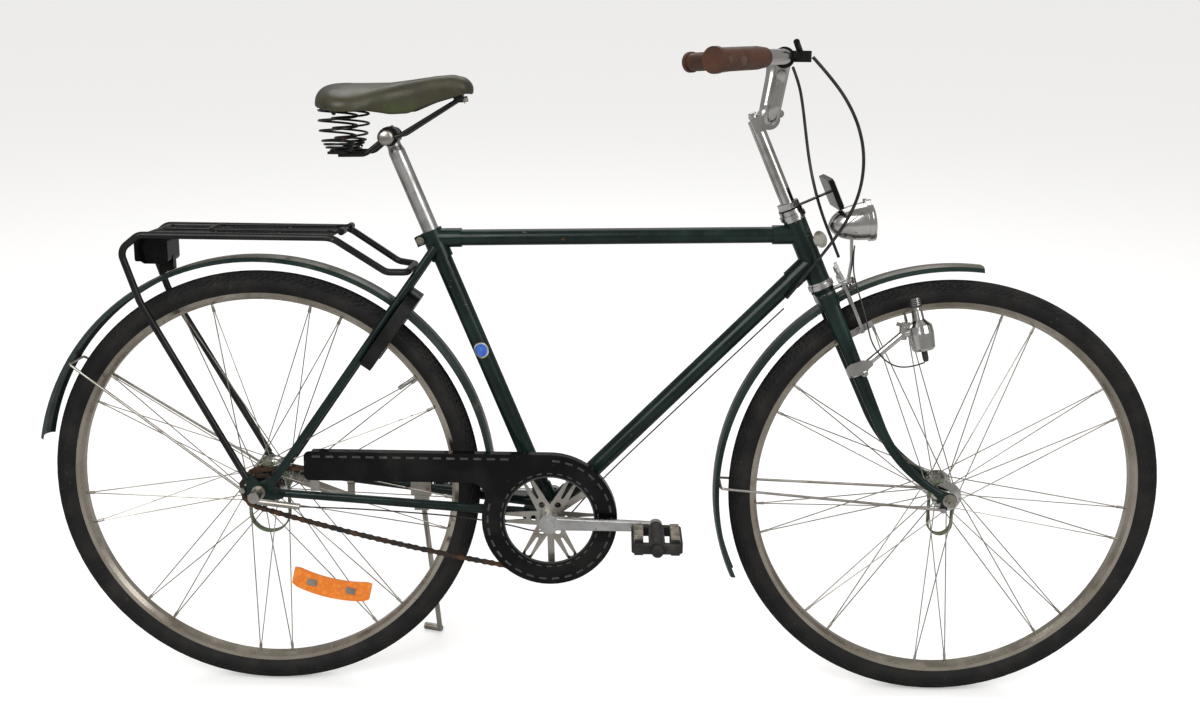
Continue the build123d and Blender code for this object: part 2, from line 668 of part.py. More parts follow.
def bracket_axle():
    reach = Vector(0, CRANK_ROOT_OFFSET + CRANK_THICKNESS + 1.5, 0)
    return rod(bracket - reach, bracket + reach, SPINDLE_RADIUS)


PEDAL_GAP = 5.0


def pedal_axle(side):
    """The pin on which a pedal turns, fixed in its crank."""
    start = crank_end(side) + Vector(0, side * 6.0, 0)
    return rod(start, start + Vector(0, side * (PEDAL_WIDTH + PEDAL_GAP + 2.0), 0), PEDAL_AXLE_RADIUS)


def pedal_middle(side):
    return crank_end(side) + Vector(0, side * (6.5 + PEDAL_GAP + PEDAL_WIDTH / 2), 0)


def pedal(side):
    """A moulded pedal body with two ribbed blocks and a centre barrel."""
    middle = pedal_middle(side)
    body = Box(PEDAL_LENGTH, PEDAL_WIDTH, PEDAL_HEIGHT * 0.6)
    body = fillet(body.edges().filter_by(Axis.Z), 12.0)
    for x in (-1, 1):
        body -= Pos(x * 16.5, 0, 0) * Box(9.0, PEDAL_WIDTH - 26.0, PEDAL_HEIGHT)
        block = Box(13.0, PEDAL_WIDTH - 22.0, PEDAL_HEIGHT)
        for i in range(5):
            groove = Box(20.0, 3.0, 3.0)
            y = (i - 2) * (PEDAL_WIDTH - 22.0) / 5.6
            for z in SIDES:
                block -= Pos(0, y, z * PEDAL_HEIGHT / 2) * groove
        body += Pos(x * 28.0, 0, 0) * block
    half = Vector(0, PEDAL_WIDTH / 2, 0)
    body += rod(-half, half, 11.0)
    body -= rod(-half * 1.2, half * 1.2, PEDAL_AXLE_RADIUS + RUNNING_CLEARANCE)
    cap_in = Vector(0, side * (PEDAL_WIDTH / 2 + 2.2), 0)
    cap_out = Vector(0, side * (PEDAL_WIDTH / 2 + 8.0), 0)
    body += rod(Vector(0, side * (PEDAL_WIDTH / 2 - 1.0), 0), cap_out, 9.0) \
        - rod(Vector(0, 0, 0), cap_in, PEDAL_AXLE_RADIUS + RUNNING_CLEARANCE)
    return Location(middle) * body


def sprocket():
    disc, root = toothed_disc(SPROCKET_TEETH, 3.0)
    disc -= Circle(REAR_HUB_RADIUS * 0.7 + SOCKET_FIT)
    return plate(disc, rear_axle_point, -CHAIN_LINE + 1.5, 3.0)


def axle_with_nuts(centre, inside, plate_thickness, reach):
    """An axle with a locking nut and washer outside each dropout."""
    ends = Vector(0, reach, 0)
    body = rod(centre - ends, centre + ends, AXLE_RADIUS)
    for side in SIDES:
        face = side * (inside + plate_thickness)
        washer = centre + Vector(0, face, 0)
        body += rod(washer, washer + Vector(0, side * 2.0, 0), 11.0)
        nut = extrude(RegularPolygon(8.7, 6), amount=side * 8.5)
        seat_plane = Plane(origin=washer + Vector(0, side * 2.0, 0), x_dir=(1, 0, 0), z_dir=(0, 1, 0))
        body += seat_plane * nut
        cone = centre + Vector(0, side * (inside - 6.0), 0)
        body += rod(cone, cone + Vector(0, side * 6.0, 0), 8.5)
    return body


rear_axle_reach = stay_rear_y + 24.0


def rear_axle():
    return axle_with_nuts(rear_axle_point, stay_rear_y, DROPOUT_THICKNESS, rear_axle_reach)


def front_axle():
    return axle_with_nuts(front_axle_point, FRONT_DROPOUT_SPACING / 2, FORK_END_THICKNESS,
                          FRONT_DROPOUT_SPACING / 2 + 24.0)


TORQUE_ARM_X = 125.0
TORQUE_ARM_DROP = 34.0


def torque_arm():
    """The back-pedal brake's arm and the strap that ties it to the left chain stay."""
    at = chain_stay_point(1, TORQUE_ARM_X)
    end = Vector(at.X, 0, at.Z - TORQUE_ARM_DROP) - rear_axle_point
    face = stay_rear_y - 10.1
    outline = make_hull(Circle(9.0).edges() + (Pos(end.X, end.Z) * Circle(7.0)).edges())
    outline -= Circle(AXLE_RADIUS + SOCKET_FIT)
    arm = plate(outline, rear_axle_point, face, 2.5)
    across = Plane(origin=at - Vector(6.0, 0, 0), x_dir=(0, 1, 0), z_dir=(1, 0, 0))
    strap = Ellipse(CHAIN_STAY_WIDTH / 2 + 2.5, CHAIN_STAY_HEIGHT / 2 + 2.5)
    inner = Ellipse(CHAIN_STAY_WIDTH / 2 + 0.3, CHAIN_STAY_HEIGHT / 2 + 0.3)
    band = across * extrude(strap, amount=12.0) - across * extrude(inner, amount=12.0)
    low = CHAIN_STAY_HEIGHT / 2 + 1.5
    drop = TORQUE_ARM_DROP - low
    tab = Pos(at.X, face - 1.25, at.Z - low - drop / 2) * Box(12.0, 2.5, drop)
    return arm + band + tab


def gear_linkage():
    """The gear hub's cap and cable barrel at the right end of the axle."""
    cap = rear_axle_point + Vector(0, -rear_axle_reach - 0.3, 0)
    body = rod(cap, cap + Vector(0, -12.0, 0), 9.0)
    start = cap + Vector(5.0, -6.0, -7.0)
    return body + rod(start, start + Vector(66.0, 1.5, -8.0), 5.0)


# Saddle

SADDLE_REAR = 106.0
SADDLE_NOSE = 342.0
SADDLE_TOP = 985.0
SADDLE_LEATHER = 5.0
SADDLE_RAIL_RADIUS = 3.5
SPRING_SIDE = 46.0
spring_x = SADDLE_REAR + 36.0
cantle_z = SADDLE_TOP - 96.0


def saddle_form(inset):
    """The saddle's full form, drawn smaller by an inset for its hollow."""
    half = [(SADDLE_REAR + 4, 30), (SADDLE_REAR + 8, 66), (SADDLE_REAR + 30, 97), (SADDLE_REAR + 62, 99)]
    half += [(SADDLE_REAR + 100, 72), (SADDLE_REAR + 135, 42), (SADDLE_REAR + 185, 27), (SADDLE_NOSE - 6, 21)]
    plan = [(x, y - inset) for x, y in half]
    side_line = Spline(*plan)
    nose = ThreePointArc(plan[-1], (SADDLE_NOSE - inset, 0), (plan[-1][0], -plan[-1][1]))
    other = Spline(*[(x, -y) for x, y in reversed(plan)])
    rear = Line((plan[0][0], -plan[0][1]), plan[0])
    block = extrude(make_face([side_line, nose, other, rear]), amount=1100.0)
    top = Spline((SADDLE_REAR - 20, SADDLE_TOP - 12 - inset), (SADDLE_REAR + 30, SADDLE_TOP + 2 - inset),
                 (SADDLE_REAR + 110, SADDLE_TOP + 2 - inset), (SADDLE_NOSE - 30, SADDLE_TOP + 16 - inset),
                 (SADDLE_NOSE + 10, SADDLE_TOP + 4 - inset))
    low = Polyline((SADDLE_NOSE + 10, SADDLE_TOP + 4 - inset), (SADDLE_NOSE + 10, SADDLE_TOP - 18),
                   (SADDLE_REAR + 140, SADDLE_TOP - 42), (SADDLE_REAR + 80, SADDLE_TOP - 36),
                   (SADDLE_REAR - 20, SADDLE_TOP - 30), (SADDLE_REAR - 20, SADDLE_TOP - 12 - inset))
    profile = Plane.XZ * make_face([top, low])
    block &= extrude(profile, amount=150.0, both=True)
    crown = Plane.YZ * (Pos(0, SADDLE_TOP + 18 - 190.0 - inset) * Circle(190.0))
    return block & extrude(crown, amount=500.0)


def saddle_hollow(gap):
    """The room under the leather, or the same form kept a gap away from it."""
    return Pos(0, 0, -0.001 - gap) * saddle_form(SADDLE_LEATHER + gap / 2)


def saddle_top():
    """A leather saddle, crowned on top and open below."""
    return saddle_form(0.0) - saddle_hollow(0.0)


def saddle_frame():
    """Double rails, the rear plate, the nose block and the clamp on the seat post."""
    clamp = seat(SEAT_TUBE_LENGTH + 158.0)
    wide = Vector(0, 40.0, 0)
    body = rod(clamp - wide, clamp + wide, 8.0)
    body += rod(clamp - Vector(0, 14, 0), clamp + Vector(0, 14, 0), 15.0)
    body -= rod(seat(SEAT_TUBE_LENGTH), seat(SEAT_TUBE_LENGTH + 172.3), 11.0 + SOCKET_FIT)
    rail_z = cantle_z - SADDLE_RAIL_RADIUS - 1.5
    for side in SIDES:
        for y in (24.0, 34.0):
            at = clamp + Vector(0, side * y, 0)
            rail = [(spring_x, side * (y + 20), rail_z), (spring_x + 38, side * (y + 8), rail_z)]
            rail += [(at.X - 4, at.Y, at.Z - 3), (at.X + 20, at.Y, at.Z + 2)]
            rail += [(SADDLE_NOSE - 22, side * 8.0 * (y / 34.0), SADDLE_TOP - 18)]
            body += bent_rod(rail, [14.0, 12.0, 14.0], SADDLE_RAIL_RADIUS)
    body += Location((spring_x, 0, cantle_z - 2.0)) * Box(30.0, 120.0, 4.0)
    nose = Pos(SADDLE_NOSE - 22, 0, SADDLE_TOP - 22) * Box(14.0, 24.0, 60.0, align=BASE)
    return body + (nose & saddle_hollow(0.3))


def saddle_springs():
    """Two barrel springs between the rear plate and the back of the saddle."""
    pieces = []
    low, high = cantle_z + 0.3, SADDLE_TOP - 34.0
    turns = 5
    step = (high - low) / turns
    for side in SIDES:
        points = [(0.0, low), (16.0, low)]
        for i in range(turns):
            swell = 27.0 + 3.0 * sin(pi * (i / turns + 0.1))
            points += [(swell - 3.0, low + i * step), (swell, low + (i + 0.5) * step)]
        points += [(24.0, high), (0.0, high)]
        spring = revolve(Plane.XZ * make_face(Polyline(*points, close=True)), axis=Axis.Z)
        spring = Pos(spring_x, side * SPRING_SIDE, 0) * spring
        cap = Pos(spring_x, side * SPRING_SIDE, high - 4.0) * Cylinder(15.0, 60.0, align=BASE)
        pieces.append(spring + (cap & saddle_hollow(0.3)))
    return pieces


# Rack, lamps and lock

RACK_HALF_WIDTH = 65.0
RACK_RADIUS = 5.5
RACK_HEIGHT = 759.0
RACK_REAR = -197.0
RACK_FRONT = 130.0


def rear_rack():
    """A carrier bent from one tube, with cross bars and legs to the dropouts."""
    eye_side = stay_rear_y + DROPOUT_THICKNESS + RACK_RADIUS + 0.3
    half = [(RACK_EYE.X, eye_side, RACK_EYE.Z), (RACK_REAR + 26, RACK_HALF_WIDTH, RACK_HEIGHT - 104)]
    half += [(RACK_REAR, RACK_HALF_WIDTH, RACK_HEIGHT - 24), (RACK_REAR + 30, RACK_HALF_WIDTH, RACK_HEIGHT)]
    half += [(RACK_FRONT, RACK_HALF_WIDTH, RACK_HEIGHT), (212, 60.0, 706.0), (242, 46.0, 704.0)]
    points = half + [(x, -y, z) for x, y, z in reversed(half)]
    radii = [60.0, 20.0, 20.0, 40.0, 20.0, 14.0]
    bends = radii + list(reversed(radii))
    body = bent_rod(points, bends, RACK_RADIUS)
    for x in (RACK_REAR + 40, -60.0, 40.0, RACK_FRONT - 8):
        body += rod((x, -RACK_HALF_WIDTH, RACK_HEIGHT), (x, RACK_HALF_WIDTH, RACK_HEIGHT), RACK_BAR_RADIUS)
    for y in (-22.0, 22.0):
        body += rod((RACK_REAR + 40, y, RACK_HEIGHT), (RACK_FRONT - 8, y, RACK_HEIGHT), 3.0)
    return body


RACK_BAR_RADIUS = 3.5
CLIP_RADIUS = 2.2


def rack_clip():
    """The sprung wire clip that lies on the carrier."""
    z = RACK_HEIGHT + RACK_BAR_RADIUS + CLIP_RADIUS + 0.3
    points = [(-70.0, 0.0, z), (-70.0, 30.0, z), (120.0, 34.0, z)]
    points += [(140.0, 52.0, z), (140.0, -52.0, z), (120.0, -34.0, z)]
    points += [(-70.0, -30.0, z), (-70.0, -0.5, z)]
    body = bent_rod(points, [12.0, 10.0, 8.0, 8.0, 10.0, 12.0], CLIP_RADIUS)
    for side in SIDES:
        body += rod((140.0, side * 22.0, z), (140.0, side * 42.0, z), 5.5)
    return body


def tail_lamp():
    """A moulded tail lamp on a foot that sits on the rear mudguard."""
    body = Pos(-158.0, 0, 730.0) * Box(44.0, 56.0, 42.0)
    body = fillet(body.edges().filter_by(Axis.Y), 8.0)
    foot = Pos(-146.0, 0, 700.0) * Box(22.0, 14.0, 40.0)
    body += foot - plate(Circle(MUDGUARD_RADIUS + 0.3), rear_axle_point, 30.0, 60.0)
    return body


def tail_lamp_lens():
    body = Pos(-185.3, 0, 730.0) * Box(10.0, 50.0, 36.0)
    return fillet(body.edges().group_by(Axis.X)[0], 3.0)


def ring_lock():
    """A horseshoe lock round the rear wheel, bolted in front of the seat stays."""
    along = (SEAT_STAY_TOP - SEAT_STAY_LOW).normalized()
    ahead = Vector(along.Z, 0, -along.X)
    share = 0.62
    middle = SEAT_STAY_LOW + (SEAT_STAY_TOP - SEAT_STAY_LOW) * share
    depth = 20.0
    origin = middle + ahead * (SEAT_STAY_RADIUS + 0.3)
    plane = Plane(origin=origin, x_dir=(0, 1, 0), z_dir=ahead)
    reach = MUDGUARD_RADIUS + 8.0 - (middle - rear_axle_point).length
    inner = 31.0
    outer = 54.0
    arch = Pos(0, reach - inner) * Circle(outer)
    arch += Pos(0, reach - inner - 42.0) * Rectangle(2 * outer, 84.0)
    arch -= Pos(0, reach - inner) * Circle(inner)
    arch -= Pos(0, reach - inner - 60.0) * Rectangle(2 * inner, 120.0)
    sign = 1 if (plane.to_local_coords(origin + along)).Y > 0 else -1
    if sign < 0:
        arch = mirror(arch, Plane.XZ)
    return extrude(plane * arch, amount=depth)


STAND_X = 245.0
STAND_FOOT_AHEAD = 12.0
STAND_TOE_LENGTH = 28.0
STAND_PIVOT = Vector(STAND_X, 54.0, 300.0)
STAND_RADIUS = 4.5
STAND_PIN_RADIUS = 5.0
STAND_FOLDED = Vector(-0.965, 0.26, -0.03)


def ground_height():
    """Height of the floor under the leaned tyres, in the leaned frame."""
    half_step = radians(250.0 / TYRE_FACETS / 2)
    lean = radians(LEAN_ANGLE)
    section = TYRE_HALF_WIDTH / cos(half_step)
    return TYRE_HALF_WIDTH * cos(lean) - section * cos(half_step - lean)


def upright(x, leaned_y, leaned_z):
    """A point given in the leaned frame, in the upright frame."""
    lean = radians(LEAN_ANGLE)
    y = leaned_y * cos(lean) - leaned_z * sin(lean)
    z = leaned_y * sin(lean) + leaned_z * cos(lean)
    return Vector(x, y, z)


STAND_FOOT_RADIUS = 6.0
stand_foot = upright(STAND_X + STAND_FOOT_AHEAD, FOOT_SPREAD, ground_height() + STAND_FOOT_RADIUS)
stand_line = (stand_foot - STAND_PIVOT).normalized()
stand_folded = STAND_FOLDED.normalized()
stand_change = (stand_line - stand_folded).normalized()
stand_axis = (Vector(0, 1, 0) - stand_change * stand_change.Y).normalized()


def stand_fold_angle():
    """How far the stand swings back, in degrees."""
    down = stand_line - stand_axis * stand_line.dot(stand_axis)
    back = stand_folded - stand_axis * stand_folded.dot(stand_axis)
    return degrees(acos(down.normalized().dot(back.normalized())))


def side_stand():
    """The stand's leg with its eye and its flattened foot."""
    eye = stand_axis * 5.5
    body = rod(STAND_PIVOT - eye, STAND_PIVOT + eye, 10.0)
    heel = stand_foot - stand_line * 2.0
    body += rod(STAND_PIVOT + stand_line * 8.5, heel, STAND_RADIUS)
    toe = upright(STAND_X + STAND_FOOT_AHEAD - STAND_TOE_LENGTH, FOOT_SPREAD + 8.0,
                  ground_height() + STAND_FOOT_RADIUS)
    body += rod(stand_foot, toe, STAND_FOOT_RADIUS)
    body += Location(stand_foot) * Sphere(STAND_FOOT_RADIUS)
    far = stand_axis * 12.0
    return body - rod(STAND_PIVOT - far, STAND_PIVOT + far, STAND_PIN_RADIUS + RUNNING_CLEARANCE)


def stand_bracket():
    """The clamp on the left chain stay with the pin that the stand turns on."""
    at = chain_stay_point(1, STAND_X)
    low = STAND_PIVOT.Z - 12.0
    clamp = Pos(STAND_X, at.Y, at.Z + 0.5) * Box(34.0, CHAIN_STAY_WIDTH + 7.0, CHAIN_STAY_HEIGHT + 7.0)
    front, rear = chain_stay_point(1, STAND_X + 40.0), chain_stay_point(1, STAND_X - 40.0)
    through = Plane(origin=front, x_dir=(0, 1, 0), z_dir=rear - front)
    start = STAND_PIVOT - stand_axis * 5.8
    tab_top = at.Z - CHAIN_STAY_HEIGHT / 2
    tab = Pos(STAND_X, at.Y, (low + tab_top) / 2) * Box(24.0, CHAIN_STAY_WIDTH, tab_top - low + 2.0)
    body = clamp + tab
    body -= through * extrude(Ellipse(CHAIN_STAY_WIDTH / 2 + 0.1, CHAIN_STAY_HEIGHT / 2 + 0.1), 90.0)
    body -= Plane(origin=start, z_dir=stand_axis) * Cylinder(14.0, 30.0, align=BASE)
    body += rod(start - stand_axis * 8.0, STAND_PIVOT + stand_axis * 7.2, STAND_PIN_RADIUS)
    return body + rod(STAND_PIVOT + stand_axis * 7.2, STAND_PIVOT + stand_axis * 10.0, 6.8)


# Steering assembly

RACE_TOP = -CUP_HEIGHT - BEARING_GAP
CROWN_TOP = RACE_TOP - 5.0
BLADE_STRAIGHT = 159.0
BLADE_TIP_SIDE = FRONT_DROPOUT_SPACING / 2 + 2.0
FORK_END_THICKNESS = 4.0
FORK_EYE = Vector(-10.0, 0, -15.0)
BLADE_TIP_FORWARD = FORK_OFFSET - 9.0
BLADE_TIP_DROP = BLADE_STRAIGHT - 15.0


def fork_blade(side):
    """One oval blade, straight from the crown and raked forward at its tip."""
    root = steer(CROWN_TOP - 4.0, 0, side * FORK_HALF_WIDTH)
    knee = steer(BLADE_STRAIGHT - FORK_LENGTH, 0, side * BLADE_TIP_SIDE)
    line = (knee - root).normalized()
    first = Plane(origin=root, x_dir=steer_forward, z_dir=line)
    last = Plane(origin=knee, x_dir=steer_forward, z_dir=line)
    blade = loft([first * Ellipse(14.0, 9.0), last * Ellipse(8.5, 7.5)])
    bend = (BLADE_TIP_FORWARD ** 2 + BLADE_TIP_DROP ** 2) / (2 * BLADE_TIP_FORWARD)
    sweep_angle = degrees(atan2(BLADE_TIP_DROP, bend - BLADE_TIP_FORWARD))
    sections = [last * Ellipse(8.5, 7.5)]
    steps = 5
    for i in range(1, steps + 1):
        turn = radians(sweep_angle * i / steps)
        low = BLADE_STRAIGHT - FORK_LENGTH - bend * sin(turn)
        at = steer(low, bend * (1 - cos(turn)), side * BLADE_TIP_SIDE)
        heading = -steer_up * cos(turn) + steer_forward * sin(turn)
        ahead = steer_forward * cos(turn) + steer_up * sin(turn)
        plane = Plane(origin=at, x_dir=ahead, z_dir=heading)
        sections.append(plane * Ellipse(8.5 - 2.5 * i / steps, 7.5 - 2.0 * i / steps))
    return blade + loft(sections)


def fork():
    """Steerer, crown, blades and slotted tips as one brazed fork."""
    top = HEAD_TUBE_LENGTH + CUP_HEIGHT + 16.0
    body = rod(steer(CROWN_TOP), steer(top), STEERER_RADIUS)
    body += rod(steer(CROWN_TOP), steer(RACE_TOP), CUP_RADIUS - 2.0)
    crown_plane = Plane(origin=steer(CROWN_TOP - 22.0), x_dir=(0, 1, 0), z_dir=steer_up)
    body += crown_plane * extrude(SlotOverall(2 * FORK_HALF_WIDTH + 22.0, 31.0), amount=22.0)
    for side in SIDES:
        body += fork_blade(side)
        tip_along = BLADE_STRAIGHT - FORK_LENGTH - BLADE_TIP_DROP + 4.0
        tip = steer(tip_along, BLADE_TIP_FORWARD - 4.0) - front_axle_point
        outline = make_hull(Circle(12.0).edges() + (Pos(tip.X, tip.Z) * Circle(6.5)).edges())
        outline += make_hull(Circle(10.0).edges() + (Pos(FORK_EYE.X, FORK_EYE.Z) * Circle(5.0)).edges())
        slot_half = AXLE_RADIUS + RUNNING_CLEARANCE
        outline -= Circle(slot_half) + Pos(2.0, -20.0) * Rectangle(2 * slot_half - 1.0, 40.0)
        y = side * FRONT_DROPOUT_SPACING / 2 + FORK_END_THICKNESS * (side > 0)
        body += plate(outline, front_axle_point, y, FORK_END_THICKNESS)
    clear = Circle(MUDGUARD_RADIUS + 0.3)
    body -= plate(clear, front_axle_point, MUDGUARD_HALF_WIDTH + 1.5, 2 * MUDGUARD_HALF_WIDTH + 3.0)
    return body - rod(steer(40.0), steer(top + 1), STEERER_BORE)


NUT_FOOT = HEAD_TUBE_LENGTH + CUP_HEIGHT + BEARING_GAP


def headset_nuts():
    """The screwed race and lock nut on top of the steerer."""
    bore = STEERER_RADIUS + SOCKET_FIT
    race = rod(steer(NUT_FOOT), steer(NUT_FOOT + 7.0), CUP_RADIUS - 2.0)
    race -= rod(steer(NUT_FOOT - 1), steer(NUT_FOOT + 8), bore)
    plane = Plane(origin=steer(NUT_FOOT + 9.3), x_dir=(0, 1, 0), z_dir=steer_up)
    nut = plane * extrude(RegularPolygon(19.0, 6), amount=9.0)
    nut -= rod(steer(NUT_FOOT + 8), steer(NUT_FOOT + 17.0), bore)
    nut -= rod(steer(NUT_FOOT + 8), steer(NUT_FOOT + 20.0), QUILL_RADIUS + 0.2)
    return group([race, nut])


CLAMP_ALONG = 267.0
clamp_point = steer(CLAMP_ALONG, CLAMP_REACH)


def stem():
    """Chromed quill with a forged clamp for the handlebar."""
    body = rod(steer(62.0), steer(CLAMP_ALONG + 6.0), QUILL_RADIUS)
    wide = Vector(0, 20.0, 0)
    body += rod(clamp_point - wide, clamp_point + wide, BAR_RADIUS + 5.5)
    neck = Plane(origin=steer(CLAMP_ALONG - 14.0, CLAMP_REACH / 2), x_dir=(0, 1, 0), z_dir=steer_up)
    body += neck * Box(24.0, CLAMP_REACH + 12.0, 24.0, align=BASE)
    body += rod(steer(CLAMP_ALONG + 6.0), steer(CLAMP_ALONG + 12.0), 7.0)
    bolt = clamp_point + steer_forward * 19.0
    body += rod(bolt - Vector(0, 11, 0), bolt + Vector(0, 11, 0), 6.0)
    return body - rod(clamp_point - wide * 2, clamp_point + wide * 2, BAR_RADIUS + SOCKET_FIT)


BAR_RISE = 88.0
BAR_SWEEP = 105.0
BAR_HALF_WIDTH = 290.0
bar_half = [clamp_point, clamp_point + Vector(0, 46, 0), clamp_point + Vector(15, 52, BAR_RISE)]
bar_half += [clamp_point + Vector(3, 150, BAR_RISE + 4)]
bar_half += [clamp_point + Vector(-BAR_SWEEP, BAR_HALF_WIDTH, BAR_RISE - 3)]


def bar_point(side, index):
    point = bar_half[index]
    return Vector(point.X, side * point.Y, point.Z)


def handlebar():
    """A raised, swept-back handlebar bent from one tube."""
    points = [bar_point(-1, i) for i in (4, 3, 2, 1)] + [bar_point(1, i) for i in (1, 2, 3, 4)]
    bends = [70.0, 36.0, 24.0, 24.0, 36.0, 70.0]
    return bent_rod(points, bends, BAR_RADIUS, BAR_RADIUS - 1.6)


def grip_line(side):
    return (bar_point(side, 4) - bar_point(side, 3)).normalized()


def grip(side):
    """A moulded grip with a closed, flared end."""
    along = grip_line(side)
    end = bar_point(side, 4) + along * 4.0
    start = end - along * GRIP_LENGTH
    body = taper(start, start + along * 20.0, GRIP_RADIUS - 2.0, GRIP_RADIUS)
    body += rod(start + along * 20.0, end - along * 8.0, GRIP_RADIUS)
    body += rod(end - along * 8.0, end, GRIP_RADIUS + 2.0)
    return body - rod(start - along, bar_point(side, 4) + along * 0.3, BAR_RADIUS + SOCKET_FIT)


def brake_lever():
    """The left lever and its clamp, pulling the front brake cable."""
    along = grip_line(1)
    ahead = Vector(along.Y, -along.X, 0).normalized()
    at = bar_point(1, 4) - along * (GRIP_LENGTH + 14.0)
    body = rod(at - along * 7.0, at + along * 7.0, BAR_RADIUS + 4.5)
    body -= rod(at - along * 8.0, at + along * 8.0, BAR_RADIUS + SOCKET_FIT)
    pivot = at + ahead * 26.0 - Vector(0, 0, 6)
    body += rod(at + ahead * 13.5, pivot, 6.5)
    body += rod(pivot - Vector(0, 0, 7), pivot + Vector(0, 0, 7), 8.0)
    blade = [pivot, pivot + along * 30 + ahead * 16 - Vector(0, 0, 4)]
    blade += [pivot + along * 80 + ahead * 14 - Vector(0, 0, 6)]
    blade += [pivot + along * 122 + ahead * 24 - Vector(0, 0, 8)]
    return body + bent_rod(blade, [24.0, 40.0], 5.0)


SHIFTER_SIDE = -117.0


def gear_shifter():
    """The thumb shifter on the right of the handlebar."""
    low, high = bar_point(-1, 2), bar_point(-1, 3)
    along = (high - low).normalized()
    share = (SHIFTER_SIDE - low.Y) / (high.Y - low.Y)
    at = low + (high - low) * share
    body = rod(at - along * 9.0, at + along * 9.0, BAR_RADIUS + 4.0)
    body -= rod(at - along * 10.0, at + along * 10.0, BAR_RADIUS + SOCKET_FIT)
    pod = at + Vector(22.0, 0, 2.0)
    shell = rod(pod - Vector(0, 0, 8), pod + Vector(0, 0, 8), 17.0)
    shell -= rod(at - along * 30.0, at + along * 30.0, BAR_RADIUS + 3.0)
    body += shell
    return body + rod(pod + Vector(-2, -12, 8), pod + Vector(-10, -34, 20), 4.5)


BRAKE_PLANE = 29.0
PAD_GAP = 5.0
BRAKE_PIVOT = -20.0
BRAKE_BOLT_RADIUS = 3.5


def front_brake():
    """A side-pull caliper bolted through the crown, with its pads."""
    pivot = steer(BRAKE_PIVOT, BRAKE_PLANE)
    plane = Plane(origin=pivot, x_dir=(0, 1, 0), z_dir=steer_forward)
    pieces = [rod(steer(BRAKE_PIVOT, 16.0), steer(BRAKE_PIVOT, BRAKE_PLANE + 17.0), BRAKE_BOLT_RADIUS)]
    down = -1 if plane.to_local_coords(pivot + steer_up).Y > 0 else 1
    pad_radius = (RIM_OUTER_RADIUS + RIM_INNER_RADIUS) / 2 + 1.0
    lean_in = BRAKE_PLANE - FORK_OFFSET
    pad_along = sqrt(pad_radius ** 2 - lean_in ** 2) - FORK_LENGTH
    drop = BRAKE_PIVOT - pad_along
    for side, layer in ((-1, 0.0), (1, 5.2)):
        reach = 31.0
        spine = [(-side * 4.0, 0), (side * 22.0, down * 1.0), (side * 37.0, down * 18.0)]
        spine += [(side * 36.0, down * (drop - 24.0)), (side * reach, down * (drop + 4.0))]
        arm = trace(Polyline(*spine), 10.0) + Circle(6.8)
        if side < 0:
            arm += trace(Polyline((0, 0), (28.0, -down * 8.0)), 8.0)
        else:
            arm += trace(Polyline((0, 0), (22.0, -down * 14.0), (28.0, -down * 32.0)), 8.0)
        pieces.append(plane * Pos(0, 0, layer) * extrude(arm, amount=5.0))
        rim_face = RIM_HALF_WIDTH + PAD_GAP
        pad_at = steer(pad_along, BRAKE_PLANE, side * (rim_face + 5.0))
        outward = (pad_at - front_axle_point - Vector(0, pad_at.Y, 0)).normalized()
        block = Plane(origin=pad_at, x_dir=(0, 1, 0), z_dir=outward)
        pieces.append(block * Box(10.0, 44.0, 11.0))
        pieces.append(rod(pad_at + Vector(0, side * 4.0, 0), pad_at + Vector(0, side * 16.0, 0), 4.0))
    return joined(pieces)


LAMP_TIP = lower_race + Vector(10.5, 0, 86.8)
LAMP_LENGTH = 70.0
LAMP_RADIUS = 31.0
LAMP_TILT = 9.0
lamp_axis = Vector(cos(radians(LAMP_TILT)), 0, sin(radians(LAMP_TILT)))


def lamp_profile(points):
    plane = Plane(origin=LAMP_TIP, x_dir=lamp_axis, z_dir=(0, -1, 0))
    return revolve(plane * make_face(points), axis=Axis(LAMP_TIP, lamp_axis))


def head_lamp():
    """A bullet lamp with its rim and the strap that carries it."""
    curve = Spline((0, 0), (8, 14), (28, 25), (LAMP_LENGTH - 10, LAMP_RADIUS - 1))
    rest = Polyline((LAMP_LENGTH - 10, LAMP_RADIUS - 1), (LAMP_LENGTH - 10, LAMP_RADIUS + 1.5),
                    (LAMP_LENGTH, LAMP_RADIUS + 1.5), (LAMP_LENGTH, LAMP_RADIUS - 2),
                    (LAMP_LENGTH - 4, LAMP_RADIUS - 2), (LAMP_LENGTH - 8, 0), (0, 0))
    body = lamp_profile([curve, rest])
    low = LAMP_TIP + lamp_axis * 38.0 - Vector(0, 0, 24.0)
    foot = steer(BRAKE_PIVOT, BRAKE_PLANE + 12.5)
    knee = Vector(foot.X + 4.0, 0, foot.Z + 34.0)
    for a, b in ((low, knee), (knee, foot)):
        line = b - a
        strap = Plane(origin=a, x_dir=(0, 1, 0), z_dir=line)
        body += strap * Box(14.0, 3.0, line.length, align=BASE)
    eye = rod(foot, foot + steer_forward * 3.0, 7.4)
    bore_half = steer_forward * 5.0
    return body + eye - rod(foot - bore_half, foot + bore_half, BRAKE_BOLT_RADIUS + SOCKET_FIT)


def head_lamp_lens():
    back = LAMP_LENGTH - 3.5
    tip = (LAMP_LENGTH + 6.0, 0)
    edge = LAMP_RADIUS - 2.3
    front_edge = (LAMP_LENGTH - 1, edge)
    arc = Spline(tip, (LAMP_LENGTH + 3.5, LAMP_RADIUS * 0.55), front_edge)
    rest = Polyline(front_edge, (back, edge), (back, 0), tip)
    return lamp_profile([arc, rest])


